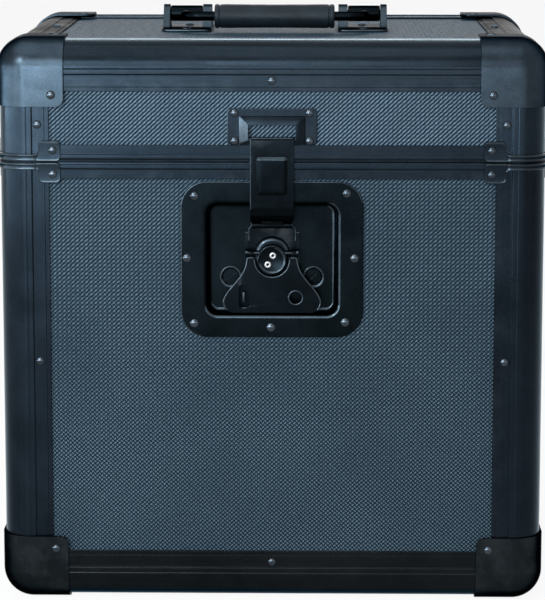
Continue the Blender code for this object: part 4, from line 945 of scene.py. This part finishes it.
def make_wings():
    """The folding butterfly: a plate with rolled edges, notched round the disc, on two knuckles."""
    face, back = FRONT + WING_FACE, FRONT + WING_BACK
    right = wing_side()
    axis = (FRONT + WING_AXIS_DEPTH, WING_AXIS_Z)
    joins = []
    for knuckle, strap in zip(both_sides(12.2, 15.9), both_sides(12.6, 15.5)):
        joins.append(rod(axis, 2.2, *knuckle, "X", ease=0.3))
        joins.append(box((strap[0], face + 0.2, WING_AXIS_Z - 3.2), (strap[1], back - 0.2, WING_AXIS_Z)))
    notch = 11.2
    through = (face - BEYOND, back + BEYOND, "Y")
    slot = rounded((-SLOT_PLACE - 3.2, SLOT_LOW), (-SLOT_PLACE + 3.8, SLOT_LOW + 16.5), 3, 8)
    hole = (15.8, WING_END + 10.2)
    cuts = [rod((0, DISC_Z), notch, *through, 72), rod(axis, 1.5, -WING_HALF, WING_HALF, "X")]
    cuts += [prism(slot, *through), rod(hole, 4.2, *through, 36)]
    plate = fused(prism(right + mirrored(right), face, back, "Y"), joins, cuts)
    refine("latch_wings", plate, STEEL, "latch_wings", ease=0.35, rounds=3)
    beads = []
    size = 0.6
    for side in (-1, 1):
        run = [(side * (a - size), b) for a, b in right[:-6]]
        top = run[0][1] - size
        beads.append(bead([(side * (notch + 1.4), top), (side * (16.5 - size), top)] + run[1:], face + 0.15, size))
    beads.append(bead(arc((0, DISC_Z), notch + size, 2, -182, 48), face + 0.15, size))
    beads.append(bead(arc(hole, 4.2 + size * 0.8, 0, 360, 40), face + 0.25, size))
    # The beads along the wings' edges take the paler steel as a painted highlight.
    group("wing_beads", beads, "latch_wings", PAINTED_HIGHLIGHT_STEEL)


def make_link():
    """The rising plate behind the rotor, with its yoke slot and the pin that carries the arm."""
    face, back = FRONT + LINK_FACE, FRONT + LINK_BACK
    top = ARM_AXIS_Z + 2.7
    outline = [(16, 224.1), (16, top - 5.5), (14.2, top - 3.7), (14.2, top)]
    outline = soft(outline + mirrored(outline), [1, 0.8, 0.8, 2.2, 2.2, 0.8, 0.8, 1], 5)
    axis = (FRONT + ARM_AXIS_DEPTH, ARM_AXIS_Z)
    lug = arc(axis, 2.3, 90, 270, 12) + [(face + TINY, ARM_AXIS_Z - 2.3), (face + TINY, ARM_AXIS_Z + 2.3)]
    joins = [prism(lug, 7.9, 13.8, "X"), prism(lug, -13.8, -7.9, "X"), rod(axis, 1.2, -13.7, 13.7, "X")]
    yoke = rounded((-10.4, CAM_Z - 7.4), (10.4, CAM_Z + 7.4), 7, 12)
    plate = fused(prism(outline, face, back, "Y"), joins, [prism(yoke, face - BEYOND, back + BEYOND, "Y")])
    refine("latch_link", plate, STEEL, "latch_link", ease=0.4, rounds=3)
    size = 0.4
    half = [(14.2 - size, top - size), (14.2 - size, top - 3.7), (16 - size, top - 5.5), (16 - size, 248)]
    run = soft(mirrored(half) + half, [0, 0.8, 0.8, 2] * 2, 5, closed=False)
    # The bead along the link's edge takes the paler steel as a painted highlight.
    group("link_bead", [bead(run, face + 0.1, size)], "latch_link", PAINTED_HIGHLIGHT_STEEL)


def make_arm():
    """The hook arm: a bent strap with a pressed stiffener, its knuckle and the inward hook."""
    strap = 1.5
    foot = ARM_AXIS_Z + 3
    foot_back = ARM_AXIS_DEPTH - 1.9
    hook_top = HOOK_LOW + strap
    points = [
        (foot_back, foot), (0.1, ARM_AXIS_Z + 9), (ARM_BACK, ARM_AXIS_Z + 12.4), (ARM_BACK, HOOK_LOW),
        (ARM_BACK + 3.8, HOOK_LOW), (ARM_BACK + 3.8, hook_top), (ARM_BACK - strap, hook_top),
        (ARM_BACK - strap, ARM_AXIS_Z + 12), (-2.2, ARM_AXIS_Z + 8.6), (foot_back - strap - TINY, foot),
    ]
    side_view = soft(points, [0, 1.6, 2, 0.6, 0, 0.2, 2.2, 3, 2, 0], 6)
    side_view = [(FRONT + depth, height) for depth, height in side_view]
    axis = (FRONT + ARM_AXIS_DEPTH, ARM_AXIS_Z)
    neck = [
        (FRONT + foot_back - strap - 0.2, foot + TINY), (FRONT + foot_back - TINY, foot + TINY),
        (axis[0], ARM_AXIS_Z + 1.9), axis, (axis[0] - 2.1, ARM_AXIS_Z),
    ]
    base = FRONT + ARM_BACK - strap + TINY
    middle = (0, (STIFF_LOW + STIFF_HIGH) / 2)
    slope = soft([(0.4, -TINY), (0, TINY), (-1.8, 1.4), (-5, 1.4)], 1.2, 5, closed=False)
    slope = [(extra, base - rise) for extra, rise in slope]
    stiffener = loft(stacked((10.4, (STIFF_HIGH - STIFF_LOW) / 2, 2.2), slope, middle, steps=8))
    joins = [prism(neck, -7.2, 7.2, "X"), rod(axis, 2.3, -7.6, 7.6, "X", ease=0.3), stiffener]
    arm = fused(prism(side_view, -14.5, 14.5, "X"), joins, [rod(axis, 1.5, -14.5, 14.5, "X")])
    made = refine("latch_arm", arm, ARM, "latch_arm", ease=0.3, rounds=3, angle=24)
    # Painted highlight on the stiffener's upward edges, in the paler steel.
    paint_edge_highlights(made, STIFF_HIGH + 3, STIFF_LOW - 2, left=NEVER)
    edge = FRONT + ARM_BACK - strap + 0.2
    beads = [
        bead([(-14, hook_top - 0.4), (14, hook_top - 0.4)], edge, 0.4),
        bead([(-14.2, ARM_AXIS_Z + 12), (-14.2, hook_top - 0.8)], edge, 0.3),
    ]
    # The beads on the hook and the arm's left edge take the paler steel as a painted highlight.
    group("arm_beads", beads, "latch_arm", PAINTED_HIGHLIGHT_STEEL)


def make_keeper():
    """The pressed keeper: a plate whose middle rises in four bevels to the edge of its window."""
    face, back = FRONT + 1, FRONT + SKIN
    stages = ((0, back), (0, face + 0.4), (-0.1, face + 0.1), (-0.5, face))
    plate = loft(stacked((30, 12, 3), stages, (0, KEEPER_MIDDLE), steps=6))
    outline = (-22.2, 314.2, 22.2, 333)
    window = (-15.7, 317.1, 15.7, 326.9)
    rise = []
    for share, height in ((-0.03, -TINY), (0, 0), (0.06, 0.6), (0.16, 0.9), (0.8, 2.3), (0.94, 2.5), (1, 2.5)):
        inner = [o + (w - o) * share for o, w in zip(outline, window)]
        ring = rounded(inner[:2], inner[2:], 0.8 * (1 - share) + 0.2, 4)
        rise.append(laid(ring, face - height))
    cut = prism(rounded(window[:2], window[2:], 0.4, 3), face - 6, back + BEYOND, "Y")
    keeper = fused(plate, [loft(rise)], [cut])
    # Painted highlight on the keeper's left-facing bevels, in the paler steel.
    paint_edge_highlights(refine("latch_keeper", keeper, KEEPER, "lid", ease=0.18, angle=12), up=NEVER)


def make_handle():
    """Two cast brackets on the lid's top, the bent bail between them and its moulded grip."""
    plate_top = HANDLE_FOOT + 1.5
    axis = (0, HANDLE_AXIS_Z)
    cheek = [(15, plate_top - TINY), (12.8, plate_top + 1.2)] + arc(axis, 6.5, 24, 156, 20)
    cheek += [(-12.8, plate_top + 1.2), (-15, plate_top - TINY)]
    for label, side in (("left", -1), ("right", 1)):
        middle = side * BRACKET_CENTRE
        stages = ((0, HANDLE_FOOT), (0, plate_top - 0.6), (-0.2, plate_top - 0.2), (-0.7, plate_top))
        plate = loft(stacked((17.5, 28, 4), stages, (middle, 0), "Z", 6))
        outer = sorted((middle + side * 17.2, middle + side * 12.6))
        inner = sorted((middle - side * 17.1, middle - side * 10.6))
        pin = sorted((middle + side * 16.8, middle - side * 16.7))
        joins = [prism(cheek, *outer, "X"), prism(cheek, *inner, "X"), rod(axis, 2.5, *pin, "X")]
        refine("handle_bracket_" + label, fused(plate, joins), BRACKET, "lid", ease=0.6, rounds=3)
    eye = (BRACKET_CENTRE - 10.3, BRACKET_CENTRE + 12.3)
    arm_x = (eye[1] + eye[0]) / 2
    bend = 11
    path = [(arm_x, -5.2)] + arc((arm_x - bend, -BAIL_REACH + bend), bend, 0, -90, 14)
    path += mirrored(path)
    joins = [rod(axis, 5.6, *span, "X", 36, ease=0.8) for span in both_sides(*eye)]
    bail = fused(bead(path, HANDLE_AXIS_Z, 3.3, 20, "Z"), joins, [rod(axis, 3, -100, 100, "X")])
    refine("handle_bail", bail, STEEL, "handle")
    centre = (-BAIL_REACH, HANDLE_AXIS_Z)
    stops = [
        (42, 7), (41.8, 7.8), (41.2, 8.3), (40.4, 8.4), (39.2, 8.4), (38.9, 8.2), (38.6, 7.7), (38.2, 7.7), (37.9, 8.1),
        (37.4, 8.3), (34, 8.35), (20, 8), (0, 7.9),
    ]
    stops = [(-along, radius) for along, radius in stops] + stops[-2::-1]
    loops = []
    for along, radius in stops:
        ring = []
        for k in range(64):
            angle = 2 * math.pi * k / 64
            seam = 0.16 * max(0, 1 - abs(math.sin(angle + 0.75)) * 14)
            flat = 1 - 0.03 * math.cos(2 * angle) * (abs(along) < 35)
            reach = min(radius * flat + seam, 8.4)
            ring.append((along, centre[0] + reach * math.cos(angle), centre[1] + reach * math.sin(angle)))
        loops.append(ring)
    loops += [laid(circle(centre, 3.6, 64), along, "X") for along in (42, -42)]
    refine("handle_grip", loft(loops, ring=True), GRIP, "handle", slot="grip_plastic")


def make_hinges():
    """Two butt hinges on the back: joggled leaves with rounded far corners and three knuckles on a pin."""
    gap = FIT / 2
    axis = (HINGE_Y, SEAM)
    half, knuckle, clear = 20, 6.5, 3.6
    for label, side in (("left", -1), ("right", 1)):
        centre = side * HINGE_PLACE
        start, end = centre - half, centre + half
        left, right = centre - knuckle - gap, centre + knuckle + gap
        for kind, way, body in (("body", -1, "case_body"), ("lid", 1, "lid")):
            leaf = [
                (0, 0.6), (-1.5, 0.6), (-1.5, 13.1), (SKIN - 1.5, 14.6), (SKIN - 1.5, 36), (SKIN, 36), (SKIN, 13.1),
                (0, 11.6),
            ]
            leaf = soft([(REAR - depth, SEAM + way * height) for depth, height in leaf], 1.2, 4)
            far = SEAM + way * 36
            cuts = []
            for edge, turn in ((start, 1), (end, -1)):
                corner = [(edge - turn * 2, far + way * 2), (edge + turn * 5, far + way * 2)]
                for k in range(10):
                    a = math.radians(10 * k)
                    corner.append((edge + turn * 5 * (1 - math.sin(a)), far - way * 5 * (1 - math.cos(a))))
                corner.append((edge - turn * 2, far - way * 5))
                cuts.append(prism(corner, REAR - 6, REAR + 6, "Y"))
            if kind == "body":
                notches = [(left - gap, right + gap)]
                knuckles = [(start + TINY, left - 2 * gap - TINY), (right + 2 * gap + TINY, end - TINY)]
            else:
                notches = [(start - 1, left - gap), (right + gap, end + 1)]
                knuckles = [(left + gap + TINY, right - gap - TINY)]
            cuts += [box((low, REAR - TINY, SEAM - clear), (high, REAR + 7.2, SEAM + clear)) for low, high in notches]
            blank = bmesh.new()
            blank.from_mesh(fused(prism(leaf, start, end, "X"), cuts=cuts))
            joins = [rod(axis, 3.3, low, high, "X", 36, ease=0.3) for low, high in knuckles]
            bores = []
            if kind == "body":
                joins.append(rod(axis, 1.4, start + 3, end - 3, "X", 20))
            else:
                bores.append(rod(axis, 1.7, start - 3, end + 3, "X", 20))
            refine("hinge_" + kind + "_" + label, fused(blank, joins, bores), STEEL, body, ease=0.25)


def rivet(place, way, radius=2.8, height=1.2):
    """A domed rivet head that stands on a place and points along a way."""
    profile = [(radius, -0.2), (radius, height * 0.10), (radius * 0.97, height * 0.24)]
    for k in range(1, 7):
        angle = math.radians(15 * k)
        profile.append((radius * 0.94 * math.cos(angle), height * (0.24 + 0.76 * math.sin(angle))))
    return lathe(profile, place, way, 24)


def make_rivets():
    """Every visible rivet head, one piece for each kind and body."""
    outer = -FIT - BALL_WALL
    along, up = TAB_RIVET
    edge_x, edge_y = HALF_WIDTH - EDGE_STEP, HALF_DEPTH - EDGE_STEP
    tab_x, tab_y = HALF_WIDTH + TAB_WALL, HALF_DEPTH + TAB_WALL
    for body, prefix, level, sz in HALVES:
        balls, edges, clamps = [], [], []
        word = body.split("_")[-1]
        middle = 327 if prefix else 167
        for sx, sy in CORNERS.values():
            lay = corner_matrix(sx, sy, sz, level)
            for place, way in corner_faces(BALL_RIVET, outer, outer + DIMPLE_DEPTH):
                balls.append(rivet(lay @ Vector(place), lay.to_3x3() @ Vector(way), 2.9, 1.3 if way[1] else 0.8))
            edges.append(rivet((sx * (HALF_WIDTH - EDGE_RIVET), sy * edge_y, middle), (0, sy, 0)))
            edges.append(rivet((sx * edge_x, sy * (HALF_DEPTH - EDGE_RIVET), middle), (sx, 0, 0)))
            height = SEAM + sz * up
            clamps.append(rivet((sx * (HALF_WIDTH - along), sy * tab_y, height), (0, sy, 0), 2.8, 1.3))
            clamps.append(rivet((sx * tab_x, sy * (HALF_DEPTH - along), height), (sx, 0, 0), 2.8, 0.6))
        height, face = level - sz * EDGE_RIVET, level - sz * EDGE_STEP
        for side in (-1, 1):
            edges.append(rivet((0, side * edge_y, height), (0, side, 0)))
            edges.append(rivet((0, side * (HALF_DEPTH - EDGE_RIVET), face), (0, 0, sz)))
            edges.append(rivet((side * edge_x, 0, height), (side, 0, 0)))
            edges.append(rivet((side * (HALF_WIDTH - EDGE_RIVET), 0, face), (0, 0, sz)))
        group("corner_rivets_" + word, balls, body)
        group("edge_rivets_" + word, edges, body)
        group("clamp_rivets_" + word, clamps, body)
    front = (0, -1, 0)
    group("dish_rivets", [rivet((x, FRONT + DISH_FACE, z), front, 3.1, 1.4) for x, z in DISH_RIVETS], "case_body")
    group("keeper_rivets", [rivet((x, FRONT + 1, z), front, 2.8, 1.3) for x, z in KEEPER_RIVETS], "lid")
    heads = []
    for sx in (-1, 1):
        for y in (-21.5, 21.5):
            heads.append(rivet((sx * BRACKET_CENTRE, y, HANDLE_FOOT + 1.5), (0, 0, 1), 3, 1.3))
    group("bracket_rivets", heads, "lid")
    for body, prefix, level, sz in HALVES:
        heads = []
        for sx in (-1, 1):
            for x, z in ((-13, 21), (13, 21), (0, 30)):
                place = (sx * HINGE_PLACE + x, REAR - SKIN + 1.5, SEAM + sz * z)
                heads.append(rivet(place, (0, 1, 0), 2.7, 1.2))
        group("hinge_rivets_" + body.split("_")[-1], heads, body)


def make_camera():
    camera = link("camera", bpy.data.cameras.new("camera"))
    camera.data.sensor_width = SENSOR
    camera.data.lens = SENSOR * LENS_PIXELS / FRAME_LONG_SIDE
    camera.data.shift_y = CAMERA_SHIFT
    camera.data.clip_start = 0.05
    camera.data.clip_end = 60
    camera.location = CAMERA_PLACE
    camera.rotation_euler = (math.radians(90 - CAMERA_PITCH), 0, -math.radians(CAMERA_YAW))
    bpy.context.scene.camera = camera


def make_lamp(name, place, target, width, height, watts, colour):
    lamp = bpy.data.lights.new(name, "AREA")
    lamp.shape = "RECTANGLE"
    lamp.size = width
    lamp.size_y = height
    lamp.energy = watts
    lamp.color = colour
    holder = link(name, lamp)
    holder.location = place
    holder.rotation_euler = (Vector(target) - Vector(place)).to_track_quat("-Z", "Y").to_euler()
    holder.visible_camera = False


def seen_straight(tree):
    """1 for what the camera sees itself, or in metal or glass, and 0 for light on the object."""
    path = node(tree, "ShaderNodeLightPath")
    share = calc(tree, "MAXIMUM", path.outputs["Is Camera Ray"], path.outputs["Is Glossy Ray"])
    return calc(tree, "MAXIMUM", share, path.outputs["Is Transmission Ray"])


def make_world():
    world = bpy.data.worlds.new("studio")
    world.use_nodes = True
    bpy.context.scene.world = world
    tree = world.node_tree
    back = tree.nodes["Background"]
    colour = blend_colour(tree, seen_straight(tree), (0.13, 0.14, 0.155), (1, 1, 1))
    tree.links.new(colour, back.inputs["Color"])


def make_floor():
    maker = bmesh.new()
    bmesh.ops.create_grid(maker, x_segments=8, y_segments=8, size=30)
    mesh = meshed(maker)
    floor = link("floor", mesh)
    finish, tree, shader, where = start_material("floor_paper", (0.87, 0.87, 0.87))
    paper = blend_colour(tree, grain(tree, where, 3.0), (0.84, 0.84, 0.84), (0.90, 0.90, 0.90))
    feed(tree, shader, colour=paper, roughness=0.9, specular=0.0)
    glow = node(tree, "ShaderNodeEmission", {"Color": (1, 1, 1, 1), "Strength": 1.0})
    share = calc(tree, "MULTIPLY", seen_straight(tree), 0.92)
    mixed = node(tree, "ShaderNodeMixShader", {0: share, 1: shader.outputs[0], 2: glow.outputs[0]})
    tree.links.new(mixed.outputs[0], tree.nodes["Material Output"].inputs["Surface"])
    mesh.materials.append(finish)


def give(name, finish):
    """Give a CAD node its finish."""
    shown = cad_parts[name]
    shown.data.materials.clear()
    shown.data.materials.append(finish)


for prefix, kind in (("panel_", "body "), ("lid_panel_", "lid ")):
    for side, letter in (("front", "Y"), ("back", "Y"), ("left", "X"), ("right", "X")):
        give(prefix + side, BOARD[kind + letter])
give("panel_bottom", BOARD["body Z"])
give("lid_panel_top", BOARD["lid Z"])

for make in (
    make_extrusions, make_ball_corners, make_rims, make_clamps, make_linings, make_dish, make_rotor, make_wings,
    make_link, make_arm, make_keeper, make_handle, make_hinges, make_rivets, make_camera, make_world, make_floor,
):
    make()

COOL, PALE = (0.82, 0.93, 1.0), (0.86, 0.95, 1.0)
for lamp in (
    ("front_left_lamp", (-0.58, -2.05, 0.38), (-0.58, -0.14, 0.38), 0.70, 0.52, 21, COOL),
    ("side_left_lamp", (-1.35, -1.95, 0.34), (-0.3, -0.14, 0.34), 0.90, 0.40, 10, COOL),
    ("front_right_lamp", (0.40, -2.05, 0.27), (0.40, -0.14, 0.27), 1.3, 0.34, 4.6, (0.88, 0.95, 1.0)),
    ("left_lamp", (-1.70, -0.95, 0.24), (0, -0.95, 0.24), 2.4, 0.26, 24, COOL),
    ("high_lamp", (-0.60, -1.60, 0.95), (-0.1, -0.14, 0.34), 1.5, 0.5, 18, PALE),
    ("top_lamp", (-0.35, -0.50, 1.75), (-0.1, -0.2, 0.38), 1.8, 1.2, 12, PALE),
    ("key_lamp", (-0.85, -1.45, 1.15), (0, -0.14, 0.30), 0.22, 0.22, 9, (0.94, 0.97, 1.0)),
    ("rim_lamp", (-0.1, 2.2, 1.45), (0, 0, 0.3), 2.0, 0.4, 14, (0.96, 0.98, 1.0)),
):
    make_lamp(*lamp)

bpy.context.scene.view_settings.view_transform = "Standard"
